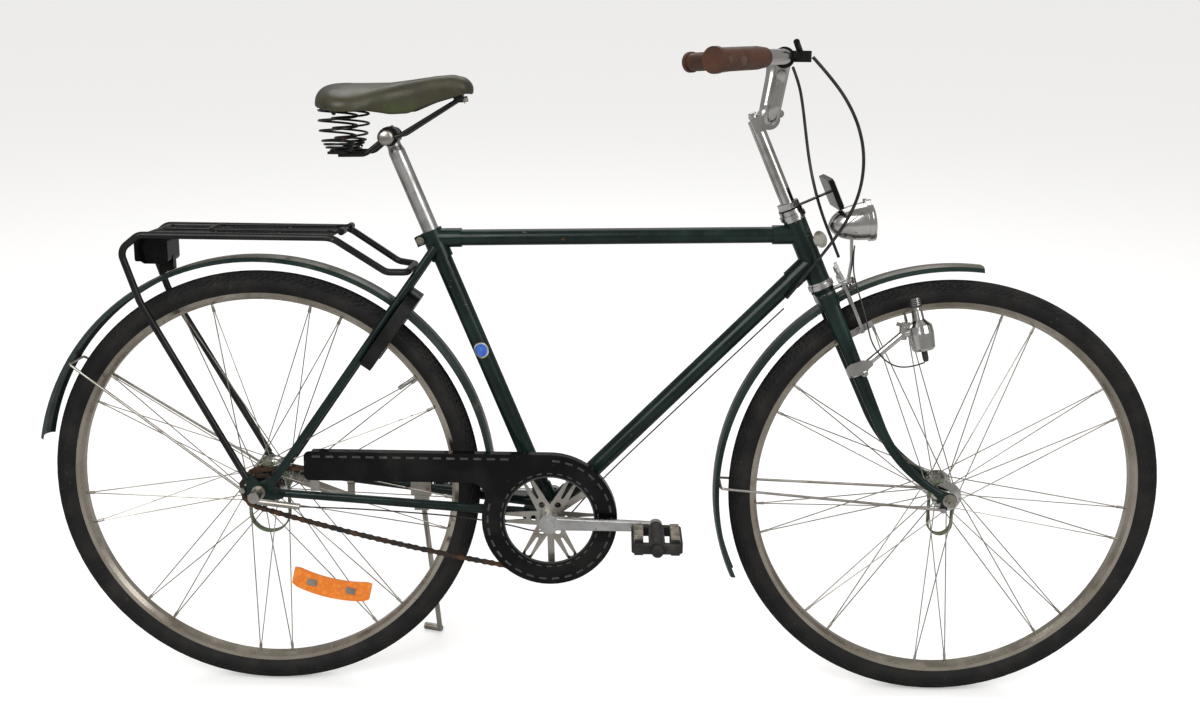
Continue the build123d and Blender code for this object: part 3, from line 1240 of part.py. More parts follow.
def front_reflector():
    """A wide front reflector on a strap from the headset."""
    plane = Plane(origin=steer(123.0, 65.0), x_dir=(0, 1, 0), z_dir=steer_forward)
    body = plane * extrude(RectangleRounded(100.0, 50.0, 6.0), amount=8.0)
    washer_at = NUT_FOOT + 7.0
    washer = rod(steer(washer_at + 0.15), steer(washer_at + 2.15), CUP_RADIUS - 2.0)
    strip_plane = Plane(origin=steer(washer_at + 0.15, 33.0), x_dir=(0, 1, 0), z_dir=steer_up)
    washer += strip_plane * Box(16.0, 64.4, 2.0, align=BASE)
    washer -= rod(steer(washer_at - 1), steer(washer_at + 4), STEERER_RADIUS + SOCKET_FIT)
    return body + washer


DYNAMO_TOP = front_axle_point + Vector(-72.0, -35.0, 323.5)
DYNAMO_LOW = front_axle_point + Vector(-55.0, -50.0, 243.5)
DYNAMO_CLAMP = -145.0


def blade_point(side, along):
    root_along = CROWN_TOP - 4.0
    knee_along = BLADE_STRAIGHT - FORK_LENGTH
    share = (root_along - along) / (root_along - knee_along)
    return steer(along, 0, side * (FORK_HALF_WIDTH + (BLADE_TIP_SIDE - FORK_HALF_WIDTH) * share))


def dynamo():
    """A bottle dynamo hung from a clamp on the right fork blade."""
    line = (DYNAMO_LOW - DYNAMO_TOP).normalized()
    length = (DYNAMO_LOW - DYNAMO_TOP).length
    outline = [(0, 0), (9.0, 0), (9.0, 14.0), (6.0, 15.0), (6.0, 19.0), (8.5, 20.0), (9.5, 34.0)]
    outline += [(19.0, 44.0), (20.0, 56.0), (18.0, length - 4), (14.0, length), (0, length)]
    outward = line.cross(Vector(0, 1, 0)).normalized()
    points = [DYNAMO_TOP + outward * r + line * u for r, u in outline]
    body = revolve(make_face(Polyline(*points, close=True)), axis=Axis(DYNAMO_TOP, line))
    clamp_at = blade_point(-1, DYNAMO_CLAMP)
    blade_line = (blade_point(-1, DYNAMO_CLAMP - 10) - blade_point(-1, DYNAMO_CLAMP)).normalized()
    ring = rod(clamp_at - blade_line * 8.0, clamp_at + blade_line * 8.0, 16.5)
    bore = Plane(origin=clamp_at - blade_line * 20.0, x_dir=steer_forward, z_dir=blade_line)
    hinge = DYNAMO_TOP + line * 50.0 - Vector(27.0, 2.0, 6.0)
    arm = rod(clamp_at + steer_forward * 12.0, hinge, 5.5)
    body += rod(hinge - Vector(0, 0, 9), hinge + Vector(0, 0, 11), 6.0)
    body += rod(hinge, DYNAMO_TOP + line * 52.0, 6.0)
    body += arm + ring
    body += rod(DYNAMO_LOW, DYNAMO_LOW + line * 8.0, 4.5)
    return body - bore * extrude(Ellipse(12.6, 9.3), 60.0)


# Cables that the bicycle holds along their whole length

def cord_bends(points):
    """Each corner's radius, as large as its two runs allow."""
    bends = []
    for before, at, after in zip(points, points[1:], points[2:]):
        first, second = Vector(at) - Vector(before), Vector(after) - Vector(at)
        half_turn = radians(first.get_angle(second)) / 2
        bends.append(0.45 * min(first.length, second.length) / tan(half_turn))
    return bends


CABLE_RADIUS = 2.5
WIRE_RADIUS = 1.2

GEAR_CABLE = [
    (-41.9, -116, 343.8), (-13.5, -108, 315.8), (14.5, -98, 281.8), (36.5, -84, 242.8), (48.5, -72, 197.8),
    (47.5, -60, 149.8), (34.5, -50, 107.8), (14.5, -42, 71.8), (-9.5, -33, 35.8), (-30.5, -24, 3.8),
    (-51.5, -14, -26.2),
]
BRAKE_CABLE = [
    (-35.5, 150, 329.8), (-27.5, 124, 303.8), (-23.5, 98, 267.8), (-20.5, 72, 225.8), (-15.5, 54, 181.8),
    (-5.5, 42, 135.8), (8.5, 34, 93.8), (23.5, 30, 59.8), (34.5, 28, 33.8),
]
LAMP_WIRE = [
    (52.5, -6, 57.8), (48.5, -16, 23.8), (58.5, -24, -12.2), (70.5, -40, -52.2), (78.5, -54, -92.2),
    (104.5, -64, -120.2), (136.5, -62, -126.2), (162.5, -53, -118.2),
]
# The gear wire starts under the head tube, follows the down tube and ends at the hub
WIRE_FROM_RACE = (-55.5, -16, -42.2)
WIRE_ALONG_TUBE = [(317, -20, 18.8), (118, -22, 17.5)]
WIRE_FROM_BRACKET = [
    (42, -24, 12), (13, -27, -25), (-21, -34, -29), (-67, -38, -15), (-145, -45, 0),
]
WIRE_FROM_AXLE = [
    (210, -55, -31.5), (140, -68, -23.5), (71.8, -88.7, -15.1),
]


def from_point(datum, points):
    """Cord points that were chosen by hand, measured from a named point."""
    return [datum + Vector(*point) for point in points]


def gear_wire_points():
    under = Vector(down_tube_dir.Z, 0, -down_tube_dir.X)
    points = from_point(lower_race, [WIRE_FROM_RACE])
    for along, side, drop in WIRE_ALONG_TUBE:
        points.append(bracket + down_tube_dir * along + under * drop + Vector(0, side, 0))
    points += from_point(bracket, WIRE_FROM_BRACKET)
    return points + from_point(rear_axle_point, WIRE_FROM_AXLE)


def cable(points, radius):
    return bent_rod(points, cord_bends(points), radius)


# The whole bicycle, sub-part by sub-part

def build():
    """Every sub-part by name, upright."""
    parts = {}
    for name, centre in (("front", front_axle_point), ("rear", rear_axle_point)):
        parts[name + "_tyre"] = tyre(centre)
        parts[name + "_rim"] = rim(centre)
    parts["front_spokes"] = spokes(front_axle_point, FRONT_FLANGE_RADIUS, FRONT_FLANGE_OFFSET)
    parts["rear_spokes"] = spokes(rear_axle_point, REAR_FLANGE_RADIUS, REAR_FLANGE_OFFSET)
    parts["front_hub"] = hub_shell(front_axle_point, FRONT_HUB_RADIUS, FRONT_FLANGE_RADIUS,
                                   FRONT_FLANGE_OFFSET, FRONT_DROPOUT_SPACING / 2 - 6.3)
    parts["rear_hub"] = hub_shell(rear_axle_point, REAR_HUB_RADIUS, REAR_FLANGE_RADIUS,
                                  REAR_FLANGE_OFFSET, stay_rear_y - 12.8)
    parts["front_hub_strap"] = hub_strap(front_axle_point, FRONT_HUB_RADIUS)
    parts["rear_hub_strap"] = hub_strap(rear_axle_point, REAR_HUB_RADIUS)
    parts["rear_sprocket"] = sprocket()
    parts["head_tube"] = head_tube()
    parts["headset_cups"] = headset_cups()
    parts["top_tube"] = top_tube()
    parts["down_tube"] = down_tube()
    parts["seat_tube"] = seat_tube()
    parts["bottom_bracket"] = bottom_bracket()
    parts["chain_stays"] = chain_stays()
    parts["seat_stays"] = seat_stays()
    parts["rear_axle"] = group([rear_axle(), torque_arm(), gear_linkage()])
    parts["front_axle"] = front_axle()
    parts["rear_mudguard"] = guard_sheet(rear_axle_point, REAR_GUARD_FROM, REAR_GUARD_TO)
    parts["front_mudguard"] = guard_sheet(front_axle_point, FRONT_GUARD_FROM, FRONT_GUARD_TO)
    parts["rear_mudguard_stay"] = guard_stay(rear_axle_point, REAR_STAY_ANGLE, GUARD_EYE,
                                             stay_rear_y + DROPOUT_THICKNESS)
    parts["front_mudguard_stay"] = guard_stay(front_axle_point, FRONT_STAY_ANGLE, front_axle_point + FORK_EYE,
                                              FRONT_DROPOUT_SPACING / 2 + FORK_END_THICKNESS)
    parts["chain_guard"] = chain_guard()
    parts["chain_guard_brackets"] = chain_guard_brackets()
    parts["chain"] = chain()
    parts["chainwheel"] = chainwheel()
    parts["cranks"] = group([crank_arm(side) + pedal_axle(side) for side in SIDES] + [bracket_axle()])
    parts["right_pedal"] = pedal(-1)
    parts["left_pedal"] = pedal(1)
    parts["seat_post"] = seat_post()
    parts["saddle_frame"] = saddle_frame()
    parts["saddle_springs"] = group(saddle_springs())
    parts["saddle_top"] = saddle_top()
    parts["rear_rack"] = rear_rack()
    parts["rack_clip"] = rack_clip()
    parts["tail_lamp"] = group([tail_lamp(), tail_lamp_lens()])
    parts["ring_lock"] = ring_lock()
    parts["stand_bracket"] = stand_bracket()
    parts["side_stand"] = side_stand()
    parts["fork"] = fork()
    parts["headset_nuts"] = headset_nuts()
    parts["stem"] = stem()
    parts["handlebar"] = handlebar()
    parts["grips"] = group([grip(-1), grip(1)])
    parts["brake_lever"] = brake_lever()
    parts["gear_shifter"] = gear_shifter()
    parts["front_brake"] = front_brake()
    parts["head_lamp"] = head_lamp()
    parts["head_lamp_lens"] = head_lamp_lens()
    parts["front_reflector"] = front_reflector()
    parts["dynamo"] = dynamo()
    parts["gear_cable"] = cable(from_point(lower_race, GEAR_CABLE), CABLE_RADIUS)
    parts["brake_cable"] = cable(from_point(lower_race, BRAKE_CABLE), CABLE_RADIUS)
    parts["gear_wire"] = cable(gear_wire_points(), WIRE_RADIUS)
    parts["lamp_wire"] = cable(from_point(lower_race, LAMP_WIRE), WIRE_RADIUS)
    return parts


def lean_over(parts):
    """Lean the bicycle onto its stand and put the origin under its middle."""
    turn = Rot(-LEAN_ANGLE, 0, 0)
    leaned = {name: turn * shape for name, shape in parts.items()}
    boxes = [shape.bounding_box() for shape in leaned.values()]
    low = Vector(*[min(tuple(box.min)[i] for box in boxes) for i in range(3)])
    high = Vector(*[max(tuple(box.max)[i] for box in boxes) for i in range(3)])
    middle = (low + high) / 2
    shift = Vector(-middle.X, -middle.Y, -low.Z)
    return {name: Location(shift) * shape for name, shape in leaned.items()}, turn, shift


def main():
    parts, turn, shift = lean_over(build())
    os.makedirs("parts", exist_ok=True)
    for name, shape in parts.items():
        shape.label = name
        export_step(shape, "parts/" + name + ".step")

    def place(point):
        return (turn * Pos(*Vector(point))).position + shift

    def heading(direction):
        return (turn * Pos(*Vector(direction))).position

    print("shift", tuple(round(v, 4) for v in shift))
    axes = {
        "steering": (lower_race, steer_up),
        "front_wheel": (front_axle_point, Vector(0, 1, 0)),
        "rear_wheel": (rear_axle_point, Vector(0, 1, 0)),
        "crank": (bracket, Vector(0, 1, 0)),
        "right_pedal": (pedal_middle(-1), Vector(0, 1, 0)),
        "left_pedal": (pedal_middle(1), Vector(0, 1, 0)),
        "stand": (STAND_PIVOT, stand_axis),
    }
    for name, (point, axis) in axes.items():
        print("joint", name, tuple(round(v, 5) for v in place(point)), tuple(round(v, 8) for v in heading(axis)))
    print("stand folds", round(stand_fold_angle(), 2))


main()
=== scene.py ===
import json
from math import acos, atan2, cos, degrees, hypot, pi, radians, sin, sqrt

import bpy
from mathutils import Matrix, Vector


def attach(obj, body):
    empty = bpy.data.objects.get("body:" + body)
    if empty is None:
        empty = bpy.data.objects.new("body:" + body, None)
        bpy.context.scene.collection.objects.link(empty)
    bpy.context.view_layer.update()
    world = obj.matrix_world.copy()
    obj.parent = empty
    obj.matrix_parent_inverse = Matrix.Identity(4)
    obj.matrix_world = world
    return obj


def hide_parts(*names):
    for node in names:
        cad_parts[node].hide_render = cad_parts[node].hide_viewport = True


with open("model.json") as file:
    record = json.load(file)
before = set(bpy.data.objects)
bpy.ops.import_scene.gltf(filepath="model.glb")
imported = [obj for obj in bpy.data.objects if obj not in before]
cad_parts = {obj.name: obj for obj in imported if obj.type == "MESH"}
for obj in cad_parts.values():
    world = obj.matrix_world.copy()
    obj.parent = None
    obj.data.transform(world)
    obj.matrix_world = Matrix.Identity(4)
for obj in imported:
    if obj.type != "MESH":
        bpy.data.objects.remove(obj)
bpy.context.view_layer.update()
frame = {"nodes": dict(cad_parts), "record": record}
nodes = frame["nodes"]

# The bicycle is drawn upright in millimetres, as in its source, then leaned and moved.
LEAN = radians(7.0)
SHIFT = Vector((-542.6857, -126.7435, 0.7263)) / 1000
TO_ROW = Matrix.Translation(SHIFT) @ Matrix.Rotation(-LEAN, 4, "X") @ Matrix.Scale(0.001, 4)

WHEEL = 348.5
BASE = 1104.0
REAR_HUB = Vector((0, 0, WHEEL))
FRONT_HUB = Vector((BASE, 0, WHEEL))
BRACKET = Vector((465, 0, 306))
HEAD_LEAN = radians(24.0)
SEAT_LEAN = radians(22.7)
RACE_BACK = 58.0
RACE_RISE = 402.0
STEER_UP = Vector((-sin(HEAD_LEAN), 0, cos(HEAD_LEAN)))
STEER_AHEAD = Vector((cos(HEAD_LEAN), 0, sin(HEAD_LEAN)))
RACE = FRONT_HUB - STEER_AHEAD * RACE_BACK + STEER_UP * RACE_RISE
SEAT_UP = Vector((-sin(SEAT_LEAN), 0, cos(SEAT_LEAN)))
SEAT_AHEAD = Vector((cos(SEAT_LEAN), 0, sin(SEAT_LEAN)))
LEFT = Vector((0, 1, 0))


def steer(along, forward=0.0, side=0.0):
    """A point measured from the lower head race along the steering axis."""
    return RACE + STEER_UP * along + STEER_AHEAD * forward + LEFT * side


def seat(along, forward=0.0, side=0.0):
    """A point measured from the bottom bracket along the seat tube."""
    return BRACKET + SEAT_UP * along + SEAT_AHEAD * forward + LEFT * side


# Camera

CAMERA_PLACE = Vector((0.5665, -2.0399, 1.0162))
CAMERA_LENS = 39.0
CAMERA_YAW, CAMERA_PITCH, CAMERA_ROLL = -0.0118, 0.2149, 0.0119


def make_camera():
    """The camera, placed over the upright bicycle in metres and moved with it to the row."""
    flat = cos(CAMERA_PITCH)
    ahead = Vector((sin(CAMERA_YAW) * flat, cos(CAMERA_YAW) * flat, -sin(CAMERA_PITCH)))
    level = ahead.cross(Vector((0, 0, 1))).normalized()
    upright = level.cross(ahead)
    right = level * cos(CAMERA_ROLL) + upright * sin(CAMERA_ROLL)
    up = upright * cos(CAMERA_ROLL) - level * sin(CAMERA_ROLL)
    data = bpy.data.cameras.new("camera")
    data.sensor_width = 36.0
    data.lens = CAMERA_LENS
    camera = bpy.data.objects.new("camera", data)
    bpy.context.scene.collection.objects.link(camera)
    turn = Matrix((right, up, -ahead)).transposed().to_4x4()
    lean = Matrix.Translation(SHIFT) @ Matrix.Rotation(-LEAN, 4, "X")
    camera.matrix_world = lean @ Matrix.Translation(CAMERA_PLACE) @ turn
    bpy.context.scene.camera = camera


make_camera()


# Materials

COAT_ROUGHNESS = 0.15
SPOT_DETAIL = 5.0
UNEVEN_SCALE, UNEVEN_DETAIL, UNEVEN_SPREAD = 35.0, 6.0, 0.1
GRAIN_DETAIL, GRAIN_DEPTH = 4.0, 0.0006
# A face starts to take the lighter upward tone when its normal looks this far up, takes most when it looks
# straight up, and takes at most this share
UP_FACE_FROM, UP_FACE_FULL, UP_FACE_SHARE = 0.82, 1.0, 0.75
SPOT_METAL = 0.1


def add_noise(tree, place, scale, detail):
    noise = tree.nodes.new("ShaderNodeTexNoise")
    noise.inputs["Scale"].default_value = scale
    noise.inputs["Detail"].default_value = detail
    tree.links.new(place, noise.inputs["Vector"])
    return noise.outputs[0]


def add_ramp(tree, value, start, end, low=0.0, high=1.0):
    """A value between start and end, turned into one between low and high."""
    ramp = tree.nodes.new("ShaderNodeMapRange")
    for socket, number in (("From Min", start), ("From Max", end), ("To Min", low), ("To Max", high)):
        ramp.inputs[socket].default_value = number
    tree.links.new(value, ramp.inputs["Value"])
    return ramp.outputs[0]


def add_mix(tree, share, under, over):
    """The colour over laid on under, which is a colour or an earlier mix."""
    mix = tree.nodes.new("ShaderNodeMix")
    mix.data_type = "RGBA"
    tree.links.new(share, mix.inputs[0])
    if isinstance(under, tuple):
        mix.inputs[6].default_value = (*under, 1)
    else:
        tree.links.new(under, mix.inputs[6])
    mix.inputs[7].default_value = (*over, 1)
    return mix.outputs[2]


def material(name, colour, rough=0.5, metal=0.0, coat=0.0, spots=(), bump=0.0, bump_scale=300.0,
             facing_up_colour=None, shine=0.5):
    """A principled surface; each spot layer is colour, scale, threshold, softness, stretch."""
    m = bpy.data.materials.new(name)
    m.use_nodes = True
    tree = m.node_tree
    tree.nodes.clear()
    out = tree.nodes.new("ShaderNodeOutputMaterial")
    shader = tree.nodes.new("ShaderNodeBsdfPrincipled")
    tree.links.new(shader.outputs[0], out.inputs[0])
    shader.inputs["Base Color"].default_value = (*colour, 1)
    shader.inputs["Roughness"].default_value = rough
    shader.inputs["Metallic"].default_value = metal
    shader.inputs["Coat Weight"].default_value = coat
    shader.inputs["Coat Roughness"].default_value = COAT_ROUGHNESS
    shader.inputs["Specular IOR Level"].default_value = shine
    where = tree.nodes.new("ShaderNodeTexCoord").outputs["Object"]
    last, last_spots = colour, None
    for spot, scale, threshold, soft, stretch in spots:
        move = tree.nodes.new("ShaderNodeMapping")
        move.inputs["Scale"].default_value = stretch
        tree.links.new(where, move.inputs["Vector"])
        noise = add_noise(tree, move.outputs[0], scale, SPOT_DETAIL)
        last_spots = add_ramp(tree, noise, threshold - soft, threshold + soft)
        last = add_mix(tree, last_spots, last, spot)
    # Faces that look up are mixed towards a lighter tone, more the more straight up they look
    if facing_up_colour:
        facing = tree.nodes.new("ShaderNodeNewGeometry")
        axes = tree.nodes.new("ShaderNodeSeparateXYZ")
        tree.links.new(facing.outputs["Normal"], axes.inputs[0])
        share = add_ramp(tree, axes.outputs["Z"], UP_FACE_FROM, UP_FACE_FULL, 0.0, UP_FACE_SHARE)
        last = add_mix(tree, share, last, facing_up_colour)
    if last_spots:
        tree.links.new(last, shader.inputs["Base Color"])
    uneven = add_noise(tree, where, UNEVEN_SCALE, UNEVEN_DETAIL)
    smoothest, roughest = max(0.02, rough - UNEVEN_SPREAD), min(1.0, rough + UNEVEN_SPREAD)
    spread = add_ramp(tree, uneven, 0.3, 0.7, smoothest, roughest)
    tree.links.new(spread, shader.inputs["Roughness"])
    if metal > 0.5 and last_spots:
        tree.links.new(add_ramp(tree, last_spots, 0.0, 1.0, metal, SPOT_METAL), shader.inputs["Metallic"])
    if bump:
        rise = tree.nodes.new("ShaderNodeBump")
        rise.inputs["Strength"].default_value = bump
        rise.inputs["Distance"].default_value = GRAIN_DEPTH
        tree.links.new(add_noise(tree, where, bump_scale, GRAIN_DETAIL), rise.inputs["Height"])
        tree.links.new(rise.outputs[0], shader.inputs["Normal"])
    return m


EVEN = (1, 1, 1)
RUST = (0.17, 0.055, 0.018)
DUST = (0.12, 0.105, 0.08)
# A lighter tone laid on the mudguard's faces that look up
UP_FACE_TONE = (0.15, 0.13, 0.1)
GREEN = (0.0045, 0.0125, 0.0105)
MATERIALS = {
    "frame_paint": material("frame_paint", GREEN, 0.22, 0.15, 0.0, [
        ((0.011, 0.026, 0.022), 14, 0.54, 0.14, EVEN), ((0.12, 0.12, 0.105), 60, 0.735, 0.02, (1, 1, 6)),
        ((0.15, 0.14, 0.12), 190, 0.745, 0.02, EVEN), (RUST, 26, 0.745, 0.02, EVEN)], 0.08, shine=0.35),
    "mudguard_paint": material("mudguard_paint", (0.009, 0.023, 0.019), 0.28, 0.15, 0.0, [
        ((0.018, 0.034, 0.029), 9, 0.5, 0.14, EVEN), (DUST, 40, 0.72, 0.1, EVEN),
        ((0.2, 0.18, 0.15), 150, 0.73, 0.02, EVEN)], 0.08, facing_up_colour=UP_FACE_TONE),
    "black_paint": material("black_paint", (0.005, 0.005, 0.0055), 0.26, 0.0, 0.0, [
        ((0.015, 0.015, 0.014), 18, 0.55, 0.12, EVEN), ((0.14, 0.13, 0.11), 130, 0.735, 0.02, EVEN),
        (RUST, 30, 0.745, 0.02, EVEN)], 0.08, shine=0.3),
    "bright_steel": material("bright_steel", (0.66, 0.65, 0.63), 0.16, 1.0, 0, [
        ((0.42, 0.40, 0.37), 22, 0.6, 0.12, EVEN), ((0.2, 0.12, 0.07), 120, 0.71, 0.03, EVEN)], 0.06),
    "zinc_steel": material("zinc_steel", (0.5, 0.48, 0.44), 0.32, 1.0, 0, [
        ((0.33, 0.29, 0.24), 20, 0.54, 0.14, EVEN), (RUST, 70, 0.69, 0.05, EVEN)], 0.1),
    "rim_steel": material("rim_steel", (0.56, 0.51, 0.44), 0.26, 1.0, 0, [
        ((0.33, 0.28, 0.22), 12, 0.55, 0.2, EVEN), ((0.16, 0.10, 0.06), 90, 0.68, 0.05, EVEN)], 0.1),
    "dark_steel": material("dark_steel", (0.055, 0.036, 0.025), 0.5, 0.6, 0, [
        ((0.12, 0.055, 0.025), 60, 0.54, 0.1, EVEN), ((0.012, 0.011, 0.01), 40, 0.54, 0.08, EVEN)], 0.2),
    "alloy": material("alloy", (0.6, 0.6, 0.59), 0.32, 1.0, 0, [
        ((0.36, 0.35, 0.33), 26, 0.56, 0.15, EVEN), ((0.24, 0.2, 0.16), 110, 0.7, 0.04, EVEN)], 0.12),
    "tyre": material("tyre", (0.0085, 0.008, 0.008), 0.66, 0, 0, [
        ((0.02, 0.0185, 0.017), 22, 0.56, 0.16, EVEN),
        ((0.07, 0.062, 0.05), 170, 0.74, 0.06, EVEN)], 0.3, 500, shine=0.25),
    "grip": material("grip", (0.085, 0.028, 0.012), 0.5, 0, 0, [
        ((0.04, 0.016, 0.009), 30, 0.5, 0.14, EVEN), ((0.2, 0.16, 0.13), 28, 0.66, 0.1, EVEN)], 0.3, 400),
    "leather": material("leather", (0.024, 0.02, 0.01), 0.42, 0, 0.1, [
        ((0.05, 0.047, 0.02), 14, 0.52, 0.14, EVEN), ((0.045, 0.07, 0.012), 17, 0.63, 0.06, EVEN),
        ((0.11, 0.1, 0.07), 130, 0.715, 0.05, EVEN)], 0.35, 420),
    "strap": material("strap", (0.1, 0.135, 0.075), 0.8, 0, 0, [
        ((0.16, 0.21, 0.11), 60, 0.5, 0.12, EVEN), ((0.07, 0.05, 0.03), 90, 0.6, 0.06, EVEN)], 0.3),
    "black_plastic": material("black_plastic", (0.003, 0.003, 0.0032), 0.12, 0, 0, [
        ((0.012, 0.0115, 0.011), 16, 0.58, 0.12, EVEN),
        ((0.09, 0.08, 0.07), 170, 0.74, 0.03, EVEN)], 0.05, shine=0.15),
    "mark_plastic": material("mark_plastic", (0.04, 0.04, 0.04), 0.3, 0, 0, [
        (DUST, 60, 0.66, 0.1, EVEN)]),
    "dark_plastic": material("dark_plastic", (0.018, 0.0175, 0.0165), 0.55, 0, 0, [
        ((0.045, 0.042, 0.035), 50, 0.58, 0.12, EVEN)], 0.2, shine=0.3),
    "cable_black": material("cable_black", (0.009, 0.009, 0.009), 0.36, 0, 0, [
        ((0.03, 0.028, 0.025), 60, 0.56, 0.12, EVEN)], 0.05),
    "pad_rubber": material("pad_rubber", (0.27, 0.24, 0.19), 0.8, 0, 0, [
        ((0.11, 0.1, 0.08), 60, 0.54, 0.12, EVEN)], 0.3),
    "block_rubber": material("block_rubber", (0.02, 0.02, 0.02), 0.7, 0, 0, [
        (DUST, 80, 0.66, 0.1, EVEN)], 0.2),
    "orange": material("orange", (0.8, 0.19, 0.01), 0.28, 0, 0.3, [
        ((0.9, 0.28, 0.03), 160, 0.55, 0.1, EVEN), ((0.3, 0.16, 0.06), 60, 0.72, 0.06, EVEN)], 0.3, 900),
    "red_lens": material("red_lens", (0.16, 0.004, 0.006), 0.2, 0, 0.4, [
        ((0.3, 0.012, 0.01), 140, 0.52, 0.1, EVEN)], 0.3, 900),
    "white_reflector": material("white_reflector", (0.6, 0.6, 0.58), 0.22, 0, 0.4, [
        ((0.42, 0.42, 0.4), 150, 0.54, 0.08, EVEN)], 0.3, 900),
    "inside": material("inside", (0.8, 0.8, 0.78), 0.12, 1.0, 0),
    "badge": material("badge", (0.5, 0.48, 0.42), 0.35, 0.5, 0.2, [
        ((0.2, 0.18, 0.14), 90, 0.58, 0.1, EVEN)]),
    "blue_disc": material("blue_disc", (0.02, 0.1, 0.5), 0.35, 0, 0.2, [
        ((0.1, 0.2, 0.5), 90, 0.62, 0.1, EVEN)]),
}


def clear_lens():
    m = bpy.data.materials.new("clear_lens")
    m.use_nodes = True
    shader = m.node_tree.nodes["Principled BSDF"]
    shader.inputs["Base Color"].default_value = (0.93, 0.95, 0.95, 1)
    shader.inputs["Roughness"].default_value = 0.06
    shader.inputs["Transmission Weight"].default_value = 0.85
    shader.inputs["IOR"].default_value = 1.45
    return m


MATERIALS["clear_lens"] = clear_lens()

# Nodes whose finish is another than their slot names
PAINT = {
    "front_rim": "rim_steel", "rear_rim": "rim_steel",
    "head_lamp": "bright_steel", "tail_lamp": "black_plastic",
    "front_reflector": "black_plastic", "seat_post": "alloy", "ring_lock": "black_paint",
}
for record_part in frame["record"]["subparts"]:
    name = record_part["node"]
    thing = nodes[name]
    thing.data.materials.clear()
    thing.data.materials.append(MATERIALS[PAINT.get(name, record_part["material_slot"])])


# Ways to make a piece

def piece(name, verts, faces, finish, body, replaces=(), smooth=40.0):
    """A mesh drawn upright in millimetres, set in the row's frame and riding on a body."""
    mesh = bpy.data.meshes.new(name)
    mesh.from_pydata([TO_ROW @ Vector(v) for v in verts], [], faces)
    mesh.validate()
    mesh.materials.append(MATERIALS[finish])
    obj = bpy.data.objects.new(name, mesh)
    bpy.context.scene.collection.objects.link(obj)
    if smooth:
        mesh.shade_smooth()
        mesh.set_sharp_from_angle(angle=radians(smooth))
    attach(obj, body)
    for node in replaces:
        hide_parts(node)
    return obj


class Parts:
    """Several shapes gathered into one mesh."""

    def __init__(self):
        self.verts = []
        self.faces = []

    def add(self, verts, faces):
        base = len(self.verts)
        self.verts += [tuple(v) for v in verts]
        self.faces += [tuple(i + base for i in f) for f in faces]
        return self

    def lathe(self, origin, axis, points, around=16, turn=0.0):
        """Points of radius and height spun about an axis; radius 0 closes an end."""
        axis = Vector(axis).normalized()
        side = axis.cross(LEFT if abs(axis.y) < 0.9 else Vector((1, 0, 0))).normalized()
        other = axis.cross(side)
        verts, rows = [], []
        for r, h in points:
            if r == 0:
                rows.append([len(verts)])
                verts.append(Vector(origin) + axis * h)
                continue
            row = []
            for i in range(around):
                a = 2 * pi * (i + turn) / around
                row.append(len(verts))
                verts.append(Vector(origin) + axis * h + (side * cos(a) + other * sin(a)) * r)
            rows.append(row)
        faces = []
        for low, high in zip(rows, rows[1:]):
            for i in range(around):
                corners = [low[i % len(low)], low[(i + 1) % len(low)]]
                corners += [high[(i + 1) % len(high)], high[i % len(high)]]
                corners = list(dict.fromkeys(corners))
                if len(corners) > 2:
                    faces.append(corners)
        return self.add(verts, faces)

    def tube(self, path, radius, around=8, closed=False, caps=True):
        """A round bar along points; radius may be a number or one for each point."""
        path = [Vector(p) for p in path]
        count = len(path)
        radii = radius if isinstance(radius, (list, tuple)) else [radius] * count
        verts, faces = [], []
        side = None
        for i, p in enumerate(path):
            if closed:
                line = path[(i + 1) % count] - path[i - 1]
            else:
                line = path[min(i + 1, count - 1)] - path[max(i - 1, 0)]
            line.normalize()
            if side is None:
                side = line.orthogonal().normalized()
            side = (side - line * side.dot(line)).normalized()
            other = line.cross(side)
            for k in range(around):
                a = 2 * pi * k / around
                verts.append(p + (side * cos(a) + other * sin(a)) * radii[i])
        last = count if closed else count - 1
        for i in range(last):
            j = (i + 1) % count
            for k in range(around):
                n = (k + 1) % around
                faces.append((i * around + k, i * around + n, j * around + n, j * around + k))
        if caps and not closed:
            faces.append(tuple(range(around))[::-1])
            faces.append(tuple((count - 1) * around + k for k in range(around)))
        return self.add(verts, faces)

    def slab(self, origin, x_dir, y_dir, outline, thickness):
        """A flat outline raised along x_dir cross y_dir."""
        x_dir, y_dir = Vector(x_dir).normalized(), Vector(y_dir).normalized()
        up = x_dir.cross(y_dir)
        low = [Vector(origin) + x_dir * x + y_dir * y for x, y in outline]
        high = [v + up * thickness for v in low]
        n = len(outline)
        faces = [tuple(range(n))[::-1], tuple(range(n, 2 * n))]
        faces += [(i, (i + 1) % n, (i + 1) % n + n, i + n) for i in range(n)]
        return self.add(low + high, faces)

    def block(self, origin, x_dir, y_dir, size):
        """A box centred on its origin."""
        x_dir, y_dir = Vector(x_dir).normalized(), Vector(y_dir).normalized()
        a, b, c = (s / 2 for s in size)
        start = Vector(origin) - x_dir.cross(y_dir) * c
        return self.slab(start, x_dir, y_dir, [(-a, -b), (a, -b), (a, b), (-a, b)], size[2])

    def bolt(self, head, axis, radius, height):
        """A hexagon head with a washer under it."""
        self.lathe(head, axis, [(0, 0), (radius * 1.35, 0), (radius * 1.35, 0.8), (0, 0.8)], 16)
        top = 0.8 + height
        return self.lathe(head, axis, [(radius, 0.8), (radius, top - 0.6), (radius * 0.86, top), (0, top)], 6)

    def make(self, name, finish, body, slot, replaces=(), smooth=40.0):
        return piece(name, self.verts, self.faces, finish, body, replaces, smooth)


def on_wheel(hub, radius, angle, side):
    """A point at an angle in degrees round a hub."""
    turn = radians(angle)
    return hub + Vector((radius * cos(turn), side, radius * sin(turn)))


